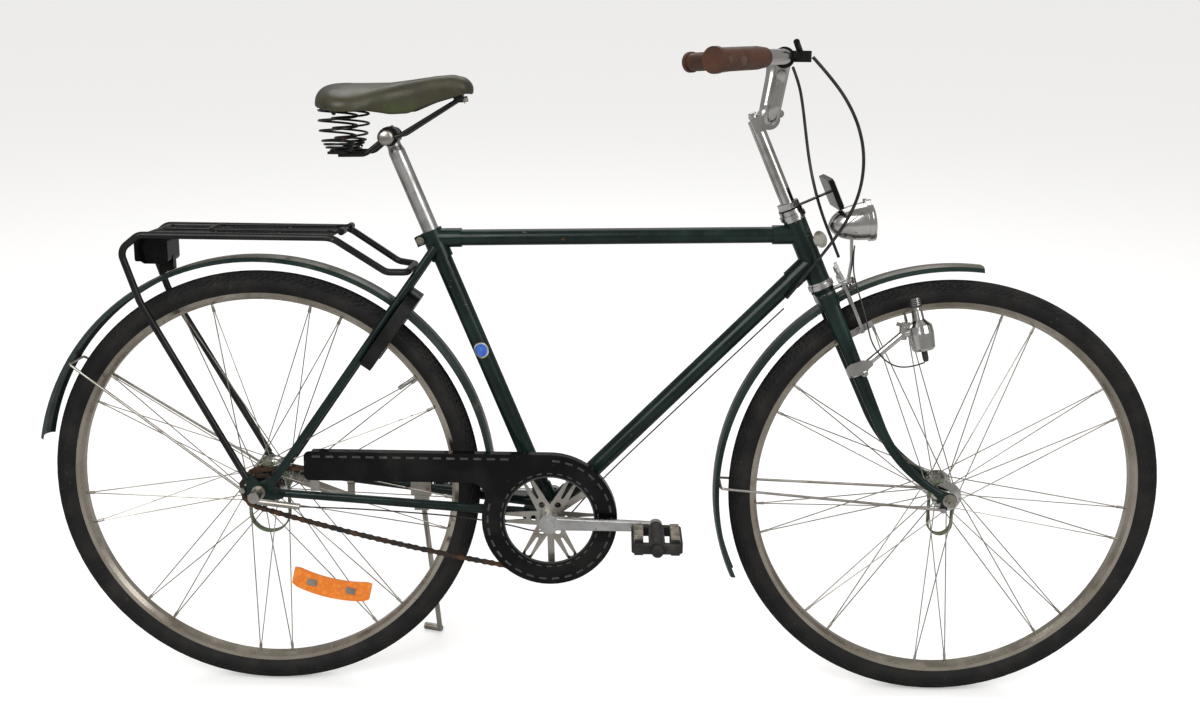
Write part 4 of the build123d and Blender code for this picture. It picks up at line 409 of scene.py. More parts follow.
def smooth_line(points, steps):
    """A Catmull-Rom line through points."""
    points = [Vector(p) for p in points]
    ends = [points[0] * 2 - points[1]] + points + [points[-1] * 2 - points[-2]]
    line = []
    for a, b, c, d in zip(ends, ends[1:], ends[2:], ends[3:]):
        for i in range(steps):
            t = i / steps
            line.append(((b * 2) + (c - a) * t + (a * 2 - b * 5 + c * 4 - d) * t * t
                         + (b * 3 - a - c * 3 + d) * t ** 3) / 2)
    return line + [points[-1]]


# Cords, on the same control points as their solids

def cord(name, points, diameter, node, body):
    curve = bpy.data.curves.new(name, "CURVE")
    curve.dimensions = "3D"
    spline = curve.splines.new("NURBS")
    spline.points.add(len(points) - 1)
    for spot, p in zip(spline.points, points):
        spot.co = (*(TO_ROW @ Vector(p)), 1)
    spline.order_u = 3
    spline.use_endpoint_u = True
    spline.resolution_u = 12
    curve.bevel_depth = diameter / 2
    curve.bevel_resolution = 3
    curve.use_fill_caps = True
    curve.materials.append(MATERIALS["cable_black"])
    obj = bpy.data.objects.new(name, curve)
    bpy.context.scene.collection.objects.link(obj)
    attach(obj, body)
    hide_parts(node)


GEAR_CABLE = [
    (845.6, -116, 1036), (874, -108, 1008), (902, -98, 974), (924, -84, 935), (936, -72, 890),
    (935, -60, 842), (922, -50, 800), (902, -42, 764), (878, -33, 728), (857, -24, 696), (836, -14, 666),
]
BRAKE_CABLE = [
    (852, 150, 1022), (860, 124, 996), (864, 98, 960), (867, 72, 918), (872, 54, 874),
    (882, 42, 828), (896, 34, 786), (911, 30, 752), (922, 28, 726),
]
GEAR_WIRE = [
    (832, -16, 650), (700, -20, 519), (560, -22, 378), (507, -24, 318), (478, -27, 281), (444, -34, 277),
    (398, -38, 291), (320, -45, 306), (210, -55, 317), (140, -68, 325), (71.8, -88.7, 333.4),
]
LAMP_WIRE = [
    (940, -6, 750), (936, -16, 716), (946, -24, 680), (958, -40, 640), (966, -54, 600), (992, -64, 572),
    (1024, -62, 566), (1050, -53, 574),
]


cord("gear_cable_line", GEAR_CABLE, 0.005, "gear_cable", "steering")
cord("brake_cable_line", BRAKE_CABLE, 0.005, "brake_cable", "steering")
cord("gear_wire_line", GEAR_WIRE, 0.0024, "gear_wire", "frame")
cord("lamp_wire_line", LAMP_WIRE, 0.0024, "lamp_wire", "steering")


# Wheels

TYRE_ROUND, TYRE_MIDDLE = 18.95, WHEEL - 19.0
TYRE_STEPS, TYRE_PROFILE, TYRE_REACH = 480, 44, 250.0
TYRE_BEAD_RADIUS, TYRE_BEAD_SIDE = 311.1, 10.4
# One tread block in this many steps round and degrees of lean, and the share of it that is groove
BLOCK_STEPS, BLOCK_SLANT, GROOVE_SHARE = 6.0, 17.0, 0.4
# Grooves round the tyre and the band of slanted blocks: start and end in degrees of lean, and depth
GROOVES = [(7, 12, 1.0), (76, 80, 0.9), (88, 91, 0.35)]
BLOCK_BAND = (18, 76, 1.8)
SPOKES_PER_SIDE = 18
SPOKE_END, SPOKE_END_SIDE = 303.2, 3.0
VALVE_FOOT = 303.5
VALVE = [(4.2, 0), (4.2, 2.5), (3.0, 3), (3.0, 22), (3.7, 22.5), (3.7, 33), (2.2, 35), (0, 35)]


def make_tyre(name, hub, body, node):
    """A tyre with ribs round the middle and slanted blocks on its shoulders."""
    verts, faces = [], []
    for i in range(TYRE_STEPS):
        a = 2 * pi * i / TYRE_STEPS
        for k in range(TYRE_PROFILE):
            s = (k / (TYRE_PROFILE - 1) - 0.5) * radians(TYRE_REACH)
            r = TYRE_ROUND
            lean = abs(degrees(s))
            phase = (i / BLOCK_STEPS + (lean / BLOCK_SLANT if s > 0 else lean / BLOCK_SLANT + 0.5)) % 1.0
            for low, high, depth in GROOVES:
                if low < lean < high:
                    r -= depth
            if BLOCK_BAND[0] < lean < BLOCK_BAND[1] and phase < GROOVE_SHARE:
                r -= BLOCK_BAND[2]
            radius, side = TYRE_MIDDLE + r * cos(s), r * sin(s)
            verts.append(hub + Vector((radius * cos(a), side, radius * sin(a))))
        for side in (TYRE_BEAD_SIDE, -TYRE_BEAD_SIDE):
            verts.append(hub + Vector((TYRE_BEAD_RADIUS * cos(a), side, TYRE_BEAD_RADIUS * sin(a))))
    row = TYRE_PROFILE + 2
    for i in range(TYRE_STEPS):
        j = (i + 1) % TYRE_STEPS
        for k in range(row):
            n = (k + 1) % row
            faces.append((i * row + k, j * row + k, j * row + n, i * row + n))
    piece(name, verts, faces, "tyre", body, [node], 30.0)


def make_spokes(name, hub, flange_radius, flange_offset, body, node):
    """Spokes with bent heads and nipples, each crossing two others on its side."""
    parts = Parts()
    step = 360.0 / SPOKES_PER_SIDE
    for side in (-1, 1):
        for i in range(SPOKES_PER_SIDE):
            lead = 1 if i % 2 else -1
            hub_angle = (i + side * 0.25) * step
            rim_angle = hub_angle + lead * 2.5 * step
            start = on_wheel(hub, flange_radius - 3.5, hub_angle, side * flange_offset + lead * 2.4)
            end = on_wheel(hub, SPOKE_END, rim_angle, side * SPOKE_END_SIDE)
            line = (end - start).normalized()
            head = on_wheel(hub, flange_radius - 3.5, hub_angle, side * flange_offset - lead * 2.6)
            parts.tube([head, start, start + line * 2, end], [1.1, 1.1, 0.95, 0.95], 6)
            parts.lathe(end - line * 13, line, [(0, 0), (1.5, 0), (1.9, 1.0), (1.9, 12.5), (0, 12.6)], 8)
    parts.make(name, "zinc_steel", body, "zinc_steel", [node], 50.0)


WHEELS = [("front", FRONT_HUB, 24.0, 33.0, 102.0), ("rear", REAR_HUB, 34.0, 29.0, 36.0)]
for label, hub, flange, offset, valve_angle in WHEELS:
    body = label + "_wheel"
    make_tyre(label + "_tyre_tread", hub, body, label + "_tyre")
    make_spokes(label + "_spoke_set", hub, flange, offset, body, label + "_spokes")
    valve = Parts()
    foot = on_wheel(hub, VALVE_FOOT, valve_angle, 0)
    valve.lathe(foot, (hub - foot).normalized(), VALVE, 12)
    valve.make(label + "_valve", "bright_steel", body, "bright_steel")

# A bent bar reflector clipped across the rear spokes

REFLECTOR_LEFT = Vector((40.0, -22.0, 192.0))
REFLECTOR_RIGHT = Vector((167.0, -22.0, 164.0))
REFLECTOR_HEIGHT, REFLECTOR_ARCH, REFLECTOR_TRIM = 33.0, 9.0, 3.0
BAR_STEPS = 14
bar = REFLECTOR_RIGHT - REFLECTOR_LEFT
along_bar = bar.normalized()
across_bar = along_bar.cross(LEFT).normalized() * -1
reflector = Parts()
outline = []
for edge in (1, -1):
    for k in range(BAR_STEPS + 1):
        share = k / BAR_STEPS if edge > 0 else 1 - k / BAR_STEPS
        rise = REFLECTOR_ARCH * (1 - (2 * share - 1) ** 2)
        trim_end = REFLECTOR_TRIM if share in (0.0, 1.0) else 0.0
        outline.append((bar.length * share, rise + edge * (REFLECTOR_HEIGHT / 2 - trim_end)))
reflector.slab(REFLECTOR_LEFT - LEFT * 3.0, along_bar, across_bar, outline, 6.0)
reflector.make("spoke_reflector", "orange", "rear_wheel", None)
clips = Parts()
for share in (0.25, 0.75):
    middle = REFLECTOR_LEFT.lerp(REFLECTOR_RIGHT, share) + across_bar * 5.0
    for y in (-3.4, 3.4):
        clips.block(middle + LEFT * y, along_bar, across_bar, (16, 11, 1.6))
clips.make("spoke_reflector_clips", "zinc_steel", "rear_wheel", "zinc_steel")


# Chain, worked out as in the source

PITCH = 12.7
CHAINWHEEL_TEETH, SPROCKET_TEETH = 46, 16
CHAIN_SAG = 32.0
CHAIN_LINE = -46.0
LINK_END, LINK_WAIST = 3.9, 2.7


def pitch_radius(teeth):
    return PITCH / (2 * sin(pi / teeth))


def chain_joints():
    """The pins, evenly spaced along the chain, whose lower run sags."""
    big, small = pitch_radius(CHAINWHEEL_TEETH), pitch_radius(SPROCKET_TEETH)
    run = BRACKET - REAR_HUB
    slope = degrees(atan2(run.z, run.x))
    spread = degrees(acos((big - small) / run.length))
    path = []
    for i in range(41):
        path.append(on_wheel(BRACKET, big, slope + (180 - spread) - 2 * (180 - spread) * i / 40, 0))
    low_front = path[-1]
    low_rear = on_wheel(REAR_HUB, small, slope - 180 + spread, 0)
    for i in range(1, 20):
        share = i / 20
        path.append(low_front.lerp(low_rear, share) + Vector((0, 0, -CHAIN_SAG * share * (1 - share))))
    for i in range(17):
        path.append(on_wheel(REAR_HUB, small, slope - 180 + spread - 2 * spread * i / 16, 0))
    path.append(path[0])
    lengths = [0.0]
    for a, b in zip(path, path[1:]):
        lengths.append(lengths[-1] + (b - a).length)
    count = 2 * round(lengths[-1] / PITCH / 2)
    joints, leg = [], 0
    for i in range(count):
        target = lengths[-1] * i / count
        while lengths[leg + 1] < target:
            leg += 1
        share = (target - lengths[leg]) / (lengths[leg + 1] - lengths[leg])
        joints.append(path[leg].lerp(path[leg + 1], share))
    return joints


def make_chain():
    """Waisted side plates, pins and rollers from each pin to the next."""
    joints = chain_joints()
    parts = Parts()
    for i, a in enumerate(joints):
        b = joints[(i + 1) % len(joints)]
        along = (b - a).normalized()
        across = Vector((-along.z, 0, along.x))
        outline = []
        span = (b - a).length
        for start, centre, waist in ((pi / 2, 0.0, -LINK_WAIST), (-pi / 2, span, LINK_WAIST)):
            for k in range(9):
                t = start + pi * k / 8
                outline.append((centre + LINK_END * cos(t), LINK_END * sin(t)))
            outline.append((span / 2, waist))
        for side in (-1, 1):
            y = CHAIN_LINE + side * (2.9 if i % 2 else 1.9)
            parts.slab(a + LEFT * (y - 0.4), along, across, outline, -0.8)
        parts.lathe(a + LEFT * (CHAIN_LINE - 3.5), LEFT, [(0, 0), (1.5, 0), (1.5, 7.0), (0, 7.0)], 8)
        parts.lathe(a + LEFT * (CHAIN_LINE - 1.5), LEFT, [(3.4, 0), (3.4, 3.0)], 10)
    parts.make("chain_links", "dark_steel", "frame", "dark_steel", ["chain"], 35.0)


make_chain()


# Saddle

SADDLE_REAR, SADDLE_NOSE, SADDLE_TOP = 106.0, 342.0, 985.0


def table(points, x):
    """Straight interpolation in a list of x and value."""
    for (x0, v0), (x1, v1) in zip(points, points[1:]):
        if x <= x1:
            t = max(0.0, (x - x0) / (x1 - x0))
            return v0 + (v1 - v0) * t
    return points[-1][1]


# Distances from the saddle's rear edge, with the top's rise, the skirt's drop and half the width
TOP_RISE = [(0, -10), (14, -2), (30, 1), (70, 1.5), (110, 2.5), (150, 8), (180, 13), (206, 15.5),
            (222, 12.5), (236, 4)]
SKIRT_DROP = [(0, 27), (40, 27), (80, 33), (115, 40), (140, 39), (175, 24), (215, 12), (236, 2)]
SADDLE_PLAN = [(3, 0), (3, 22), (5, 45), (10, 66), (20, 84), (34, 95), (50, 98), (66, 94), (84, 82),
               (104, 64), (124, 49), (145, 38), (168, 31), (190, 27), (210, 24), (224, 20), (232, 12),
               (235, 4)]
RIVETS = [(12, 34), (12, -34), (22, 74), (22, -74), (10, 0), (222, 9), (222, -9), (214, 0)]
RIVET_HEAD = [(5.5, 0), (5.5, 1.2), (4.2, 2.6), (2.0, 3.3), (0, 3.5)]
CROWN, ROUND_EDGE, SKIRT_FLARE = 420.0, 12.0, 3.0


def saddle_height(x):
    return SADDLE_TOP + table(TOP_RISE, x - SADDLE_REAR)


def make_saddle():
    """A leather top with a rolled edge, crowned across and dipped along."""
    half = smooth_line([(SADDLE_REAR + x, y, 0) for x, y in SADDLE_PLAN], 4)
    outline = [(p.x, p.y) for p in half] + [(p.x, -p.y) for p in reversed(half[1:-1])]
    n = len(outline)
    levels = [("skirt", 0.0), ("skirt", 0.4), ("skirt", 0.75)]
    levels += [("top", d) for d in (0.0, 2.0, 5.0, 9.0, 14.0, 21.0)]
    levels += [("share", f) for f in (0.45, 0.65, 0.85, 1.0)]
    verts, faces = [], []
    for kind, value in levels:
        for x, y in outline:
            spine_x = min(max(x, SADDLE_REAR + 52), SADDLE_NOSE - 26)
            reach = hypot(x - spine_x, y)
            top = saddle_height(x)
            low = SADDLE_TOP - table(SKIRT_DROP, x - SADDLE_REAR)
            if kind == "skirt":
                edge = top - ROUND_EDGE - y * y / CROWN
                z = low + (edge - low) * value
                f = SKIRT_FLARE * (1 - value) / max(reach, 1.0)
            else:
                distance = value if kind == "top" else max(21.0, reach * value)
                distance = min(distance, reach)
                f = distance / max(reach, 1.0)
                px, py = x + (spine_x - x) * f, y * (1 - f)
                short = max(0.0, ROUND_EDGE - distance)
                drop = ROUND_EDGE - sqrt(ROUND_EDGE ** 2 - short ** 2)
                z = saddle_height(px) - drop - py * py / CROWN
            verts.append((x + (spine_x - x) * f, y * (1 - f), z))
    for r in range(len(levels) - 1):
        for i in range(n):
            j = (i + 1) % n
            faces.append((r * n + i, r * n + j, (r + 1) * n + j, (r + 1) * n + i))
    saddle = piece("saddle_leather", verts, faces, "leather", "frame", ["saddle_top"], 60.0)
    bpy.context.view_layer.objects.active = saddle
    thick = saddle.modifiers.new("thick", "SOLIDIFY")
    thick.thickness = 0.0045
    thick.offset = -1.0
    soft = saddle.modifiers.new("soft", "SUBSURF")
    soft.levels = soft.render_levels = 1
    rivets = Parts()
    for x, y in RIVETS:
        px = SADDLE_REAR + x
        z = saddle_height(px) - y * y / CROWN
        rivets.lathe((px, y, z - 1.6), (0, 0, 1), RIVET_HEAD, 14)
    rivets.make("saddle_rivets", "zinc_steel", "frame", "zinc_steel")


make_saddle()

# Saddle springs, small and tight below, wide and open above

SPRING_X, SPRING_SIDE = SADDLE_REAR + 36.0, 46.0
CANTLE_Z = SADDLE_TOP - 96.0
COIL_STEPS = 28
COIL_WIRE = 1.8
SPRING_CUP = [(0, 0), (14, 0), (14, 2), (6, 5), (0, 6)]
TIGHT_TURNS, OPEN_TURNS = 2.5, 3.5
springs = Parts()
for side in (-1, 1):
    line = []
    for k in range(int((TIGHT_TURNS + OPEN_TURNS) * COIL_STEPS) + 1):
        turns = k / COIL_STEPS
        if turns < TIGHT_TURNS:
            share = turns / TIGHT_TURNS
            radius, z = 17.0 + 7.5 * share, 3.0 + 12.0 * share
        else:
            share = (turns - TIGHT_TURNS) / OPEN_TURNS
            radius, z = 24.5 + 4.5 * min(1.0, share * 2.5), 15.0 + 53.0 * share
        a = 2 * pi * turns
        line.append((SPRING_X + radius * cos(a), side * SPRING_SIDE + radius * sin(a), CANTLE_Z + z))
    springs.tube(line, COIL_WIRE, 8)
    springs.lathe((SPRING_X, side * SPRING_SIDE, CANTLE_Z + 0.3), (0, 0, 1), SPRING_CUP, 20)
springs.make("saddle_coils", "black_paint", "frame", "black_paint", ["saddle_springs"])

CANTLE_HALF = 84
CANTLE_FROM_REAR, CANTLE_SWEEP = 16, 22
under = Parts()
cantle = []
for y in range(-CANTLE_HALF, CANTLE_HALF + 1, 12):
    sweep = (abs(y) / CANTLE_HALF) ** 2 * CANTLE_SWEEP
    cantle.append((SADDLE_REAR + CANTLE_FROM_REAR + sweep, y, SADDLE_TOP - 24 - y * y / 500.0))
under.tube(cantle, 3.2, 8)
for side in (-1, 1):
    post = side * SPRING_SIDE
    under.tube([(SPRING_X, post, CANTLE_Z + 70), (SPRING_X - 8, post, SADDLE_TOP - 20)], 4.0, 8)
under.make("saddle_cantle", "black_paint", "frame", "black_paint")

CLAMP_ALONG, CLAMP_HALF = 655.0, 40.0
LUG_BOLT_ALONG, LUG_BOLT_BACK = 488.0, -20.5
DOME = [(0, 0), (12.5, 0), (12.5, 2.5), (11.0, 4.5), (7.0, 6.0), (0, 6.6)]
nuts = Parts()
for side in (-1, 1):
    nuts.lathe(seat(CLAMP_ALONG, 0, side * CLAMP_HALF), LEFT * side, DOME, 24)
nuts.bolt(Vector((SADDLE_NOSE - 14.8, 0, SADDLE_TOP - 18)), (1, 0, 0.25), 4.5, 6.0)
for side, height in ((-1, 5.0), (1, 3.0)):
    nuts.bolt(seat(LUG_BOLT_ALONG, LUG_BOLT_BACK, side * 11), LEFT * side, 4.6, height)
nuts.make("seat_bolts", "zinc_steel", "frame", "zinc_steel")


# Chain guard trim: raised dashes along the top edge and in two rings, and a rolled lip

FACE = -56.5
DASH_START, DASH_STEP, DASH_COUNT, DASH_HEIGHT = 92.0, 21.5, 15, 407.0
RING_DASHES = 30
OUTER_RING, INNER_RING, LIP_RING = 99.5, 78.5, 72.9
OUTER_START, INNER_START = 96.0, 6.0
# The outer ring has no dashes where the straight part of the guard joins it
JOIN_FROM, JOIN_TO = 88, 168
trim = Parts()
for k in range(DASH_COUNT):
    spot = (DASH_START + k * DASH_STEP, FACE - 0.4, DASH_HEIGHT)
    trim.block(spot, (1, 0, 0), (0, 0, 1), (13.0, 3.4, 1.0))
dashes = []
for k in range(RING_DASHES):
    angle = OUTER_START - k * 360.0 / RING_DASHES
    if not JOIN_FROM < angle % 360 < JOIN_TO:
        dashes.append((OUTER_RING, angle, (12.0, 3.2, 1.0)))
dashes += [(INNER_RING, INNER_START + k * 360.0 / RING_DASHES, (8.5, 2.2, 1.0)) for k in range(RING_DASHES)]
for radius, angle, size in dashes:
    tangent = Vector((-sin(radians(angle)), 0, cos(radians(angle))))
    trim.block(on_wheel(BRACKET, radius, angle, FACE - 0.4), tangent, tangent.cross(LEFT), size)
trim.make("chain_guard_marks", "mark_plastic", "frame", "black_plastic", smooth=0)
lip = Parts()
lip.tube([on_wheel(BRACKET, LIP_RING, a * 6.0, FACE - 0.2) for a in range(60)], 1.3, 6, closed=True)
lip.make("chain_guard_lip", "mark_plastic", "frame", "black_plastic")


# Pedals

CRANK_LENGTH, PEDAL_SIDE = 170.0, 135.5
TREAD_OUT, TREAD_UP, TREAD_WIDTH = 28.0, 12.2, 13.6
PEDAL_EDGE, PEDAL_END = 34.9, 53.9
RIBS, RIB_STEP = 9, 7.6
for side, body in ((-1, "right_pedal"), (1, "left_pedal")):
    middle = BRACKET + Vector((-side * CRANK_LENGTH, side * PEDAL_SIDE, 0))
    pads = Parts()
    for x in (-1, 1):
        for z in (-1, 1):
            centre = middle + Vector((x * TREAD_OUT, 0, z * TREAD_UP))
            pads.block(centre, (1, 0, 0), (0, 1, 0), (TREAD_WIDTH, 68.0, 1.2))
            for k in range(RIBS):
                spot = centre + Vector((0, (k - RIBS // 2) * RIB_STEP, z * 1.1))
                pads.block(spot, (1, 0, 0), (0, 1, 0), (TREAD_WIDTH, 3.6, 1.8))
        outer = middle + Vector((x * PEDAL_EDGE, 0, 0))
        pads.block(outer, (0, 1, 0), (0, 0, 1), (66.0, 20.0, 1.2))
    pads.make(body + "_treads", "pad_rubber", body, "dark_plastic", smooth=0)
    cap = Parts()
    cap.lathe(middle + LEFT * side * PEDAL_END, LEFT * side, [(9.2, 0), (9.2, 1.5), (7.5, 2.6), (0, 2.9)], 20)
    cap.make(body + "_cap", "dark_plastic", body, "dark_plastic")


# Lamps and reflectors

TIP = Vector((898.0, 0, 779.0))
LAMP_TILT = radians(9.0)
AXIS = Vector((cos(LAMP_TILT), 0, sin(LAMP_TILT)))
LAMP_UP = AXIS.cross(LEFT)
LAMP_ROUND = 40
GLASS = [(29.0, 68.5), (28.6, 70.2), (25.0, 71.8), (20.0, 73.4), (14.0, 74.6), (7.0, 75.2), (0, 75.5)]
MIRROR = [(28.8, 68.2), (24, 66.6), (16, 64.9), (8, 63.6), (0, 63.0)]
BULB = [(4.0, 63.2), (4.0, 65.5), (2.5, 67.0), (0, 67.6)]
RIM_ALONG, RIM_RADIUS, RIM_STEPS = 67.0, 31.6, 48
lens = Parts()
lens.lathe(TIP, AXIS, GLASS, LAMP_ROUND)
lens.lathe(TIP, AXIS, [(29.0, 68.5), (0, 68.5)], LAMP_ROUND)
lens.make("head_lamp_glass", "clear_lens", "steering", "clear_lens", ["head_lamp_lens"])
bowl = Parts()
bowl.lathe(TIP, AXIS, MIRROR, LAMP_ROUND)
bowl.lathe(TIP, AXIS, BULB, 14)
bowl.make("head_lamp_mirror", "inside", "steering", "bright_steel")
ring = Parts()
circle = []
for k in range(RIM_STEPS):
    a = 2 * pi * k / RIM_STEPS
    circle.append(TIP + AXIS * RIM_ALONG + (LEFT * cos(a) + LAMP_UP * sin(a)) * RIM_RADIUS)
ring.tube(circle, 1.4, 8, closed=True)
ring.lathe(TIP + AXIS * 60.5 + LAMP_UP * 31.0, LAMP_UP, [(3.0, 0), (3.0, 3.4), (0, 4.2)], 12)
ring.make("head_lamp_rim", "bright_steel", "steering", "bright_steel")

FACE_RIBS, FACE_STEP = 11, 8.6
face = Parts()
for k in range(FACE_RIBS):
    face.block(steer(123.0, 73.5, (k - FACE_RIBS // 2) * FACE_STEP), LEFT, STEER_UP, (7.6, 42.0, 1.4))
face.make("front_reflector_face", "white_reflector", "steering", "white_reflector", smooth=0)

TAIL_X, TAIL_Z, TAIL_LOWEST_RIB, TAIL_RIB_STEP = -190.0, 730.0, 718.0, 4.8
tail = Parts()
tail.block((TAIL_X, 0, TAIL_Z), (0, 1, 0), (0, 0, 1), (46.0, 32.0, 1.2))
for k in range(6):
    rib = (TAIL_X - 0.4, 0, TAIL_LOWEST_RIB + k * TAIL_RIB_STEP)
    tail.block(rib, (0, 1, 0), (0, 0, 1), (44.0, 2.4, 1.4))
tail.make("tail_lamp_face", "red_lens", "frame", None, smooth=0)


# Dynamo, brake and small fastenings on the steering

DYNAMO_TOP, DYNAMO_LOW = Vector((1032.0, -35.0, 672.0)), Vector((1049.0, -50.0, 592.0))
down = (DYNAMO_LOW - DYNAMO_TOP).normalized()
ROLLER = [(0, -0.4), (8.0, -0.4), (9.3, 0.6)]
ROLLER += [(9.4 if k % 2 else 8.9, 1.5 + k * 1.5) for k in range(8)]
ROLLER += [(9.3, 14.2), (6, 14.6)]
roller = Parts()
roller.lathe(DYNAMO_TOP, down, ROLLER, 24)
roller.lathe(DYNAMO_LOW, down, [(4.8, 0.2), (4.8, 12), (3.6, 17), (0, 17.5)], 12)
roller.make("dynamo_roller", "block_rubber", "steering", "black_plastic")
wing = Parts()
hinge = DYNAMO_TOP + down * 50.0 + Vector((-27.0, -2.0, -6.0))
wing.lathe(hinge + Vector((0, 0, 11)), (0, 0, 1), [(4.4, 0), (4.4, 5), (2.6, 7), (0, 7.4)], 12)
for sign in (-1, 1):
    wing.block(hinge + Vector((sign * 6.5, 0, 14.5)), (1, 0, 0.3 * sign), (0, 1, 0), (9.0, 1.8, 6.0))
# The blade at the clamp stands this far to the right, between its crown and its end
CLAMP_DROP = 145.0
BLADE_TOP, BLADE_TOP_SIDE = 20.3, 36.0
BLADE_LOW, BLADE_SPREAD = 243.0, 16.0
blade_side = BLADE_TOP_SIDE + BLADE_SPREAD * (CLAMP_DROP - BLADE_TOP) / (BLADE_LOW - BLADE_TOP)
BRACKET_PLATE = [(0, -4), (6, -11), (24, -12), (42, -3), (42, 5), (26, 9), (8, 9), (0, 4)]
clamp_at = steer(-CLAMP_DROP, 0, -blade_side)
wing.bolt(clamp_at + Vector((-12, -10, 2)), (-0.6, -0.8, 0), 4.2, 4.5)
wing.bolt(clamp_at + Vector((10, -14, -3)), (0.4, -1, 0), 4.2, 4.5)
wing.slab(clamp_at + Vector((-18, -16.6, 0)), (1, 0, 0.35), (-0.35, 0, 1), BRACKET_PLATE, -1.6)
wing.make("dynamo_screws", "bright_steel", "steering", "bright_steel")

BRAKE_PIVOT = [(0, -12), (2.4, -12), (2.4, 10), (3.6, 10.5), (3.6, 18), (2.2, 20), (0, 20)]
STEM_TOP = 279.0
small = Parts()
small.bolt(steer(STEM_TOP), STEER_UP, 6.2, 5.0)
small.bolt(steer(-20, 46.5), STEER_AHEAD, 5.6, 5.0)
small.lathe(steer(-14, 34, 30), STEER_UP, BRAKE_PIVOT, 10)
for side in (-1, 1):
    small.lathe(steer(267, 39, side * 11), LEFT * side, [(5.2, 0), (5.2, 3), (4.2, 4), (0, 4)], 12)
small.make("steering_bolts", "bright_steel", "steering", "bright_steel")

# A blank oval badge on the head tube
BADGE_STEPS = 32
badge = Parts()
turns = [2 * pi * k / BADGE_STEPS for k in range(BADGE_STEPS)]
outline = [(10.0 * cos(a), 14.0 * sin(a)) for a in turns]
badge.slab(steer(62.0, 25.5, -7.0), STEER_AHEAD, STEER_UP, outline, 1.4)
badge.block(steer(62.0, 17.5, -8.0), STEER_AHEAD, STEER_UP, (6.0, 10.0, 3.0))
badge.make("head_badge", "badge", "frame", "zinc_steel")

# A plain disc curved round the seat tube, with nothing printed on it
DISC_ALONG = 291.0
DISC_RINGS, DISC_STEPS = 5, 24
SEAT_TUBE_RADIUS = 14.3
DISCS = [("seat_tube_disc_edge", "badge", 13.0, 0.15), ("seat_tube_disc", "blue_disc", 10.2, 0.5)]


def make_disc(name, finish, radius, lift):
    verts, faces = [], []
    out = SEAT_TUBE_RADIUS + lift
    for ring in range(1, DISC_RINGS + 1):
        for k in range(DISC_STEPS):
            a = 2 * pi * k / DISC_STEPS
            reach = radius * ring / DISC_RINGS
            turn = reach * cos(a) / SEAT_TUBE_RADIUS
            round_tube = SEAT_AHEAD * sin(turn) - LEFT * cos(turn)
            verts.append(seat(DISC_ALONG + reach * sin(a)) + round_tube * out)
    verts.append(seat(DISC_ALONG, 0, -out))
    for ring in range(DISC_RINGS - 1):
        first = ring * DISC_STEPS
        for k in range(DISC_STEPS):
            n = (k + 1) % DISC_STEPS
            faces.append((first + k, first + n, first + DISC_STEPS + n, first + DISC_STEPS + k))
    centre = DISC_RINGS * DISC_STEPS
    faces += [(centre, (k + 1) % DISC_STEPS, k) for k in range(DISC_STEPS)]
    Parts().add(verts, faces).make(name, finish, "frame", None)


for disc in DISCS:
    make_disc(*disc)


# Floor, backdrop and light

FLOOR_HALF = 30.0
FLOOR_GLOW = (1.0, 0.995, 0.98, 1)
# Base and glow of the floor, to rays that don't come from the camera and to rays that do
FLOOR_LEVELS = [("Base Color", 0.4, 0.8), ("Emission Strength", 0.0, 0.3)]
WORLD_COLOUR = (1.0, 0.99, 0.97, 1)
WORLD_LEVEL = 0.7
WORLD_RAYS = [("Is Glossy Ray", 0.3), ("Is Camera Ray", 1.0)]
# Place, aim, size and power of each lamp
LAMPS = [
    ((-1.4, -2.6, 2.8), (0, 0, 0.5), 2.2, 60),
    ((2.2, -2.0, 2.4), (0.2, 0, 0.5), 2.0, 34),
    ((0.0, 1.8, 3.0), (0, 0, 0.4), 2.4, 30),
]


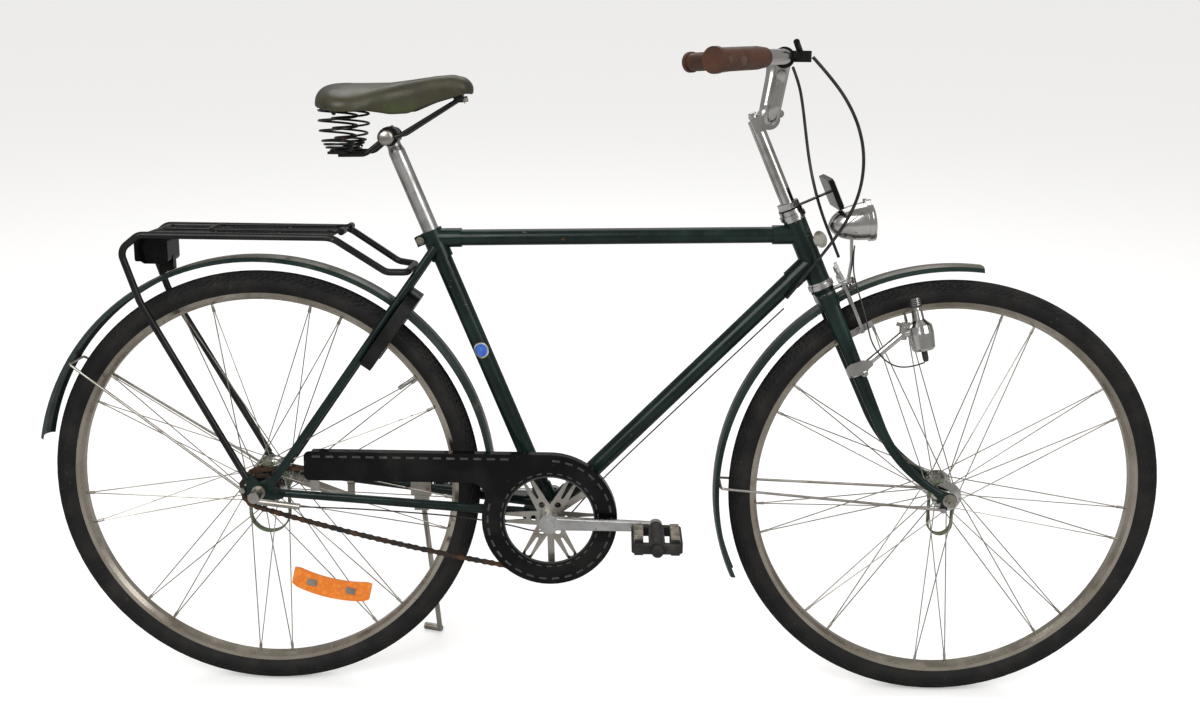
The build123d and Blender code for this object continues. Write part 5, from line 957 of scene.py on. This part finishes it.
def add_choice(tree, ray, otherwise, chosen):
    """The number chosen for one kind of ray, and another number or output for the rest."""
    mix = tree.nodes.new("ShaderNodeMix")
    if isinstance(otherwise, float):
        mix.inputs[2].default_value = otherwise
    else:
        tree.links.new(otherwise, mix.inputs[2])
    mix.inputs[3].default_value = chosen
    tree.links.new(ray, mix.inputs[0])
    return mix.outputs[0]


def make_floor():
    """A pale floor, brighter to the camera than to what mirrors it."""
    mesh = bpy.data.meshes.new("floor")
    corners = [(-FLOOR_HALF, -FLOOR_HALF, 0), (FLOOR_HALF, -FLOOR_HALF, 0)]
    corners += [(FLOOR_HALF, FLOOR_HALF, 0), (-FLOOR_HALF, FLOOR_HALF, 0)]
    mesh.from_pydata(corners, [], [(0, 1, 2, 3)])
    floor = bpy.data.objects.new("floor", mesh)
    bpy.context.scene.collection.objects.link(floor)
    pale = bpy.data.materials.new("floor")
    pale.use_nodes = True
    tree = pale.node_tree
    shader = tree.nodes["Principled BSDF"]
    shader.inputs["Roughness"].default_value = 0.9
    shader.inputs["Emission Color"].default_value = FLOOR_GLOW
    light = tree.nodes.new("ShaderNodeLightPath")
    for socket, unseen, seen in FLOOR_LEVELS:
        level = add_choice(tree, light.outputs["Is Camera Ray"], unseen, seen)
        tree.links.new(level, shader.inputs[socket])
    mesh.materials.append(pale)


def make_world():
    world = bpy.data.worlds.new("world")
    bpy.context.scene.world = world
    world.use_nodes = True
    tree = world.node_tree
    background = tree.nodes["Background"]
    light = tree.nodes.new("ShaderNodeLightPath")
    level = WORLD_LEVEL
    for ray, strength in WORLD_RAYS:
        level = add_choice(tree, light.outputs[ray], level, strength)
    tree.links.new(level, background.inputs["Strength"])
    background.inputs["Color"].default_value = WORLD_COLOUR


def make_lamps():
    for place, aim, size, power in LAMPS:
        data = bpy.data.lights.new("area", "AREA")
        data.size = size
        data.energy = power
        lamp = bpy.data.objects.new("area", data)
        bpy.context.scene.collection.objects.link(lamp)
        lamp.location = place
        lamp.rotation_euler = (Vector(aim) - Vector(place)).to_track_quat("-Z", "Y").to_euler()


make_floor()
make_world()
make_lamps()
bpy.context.scene.view_settings.view_transform = "Standard"
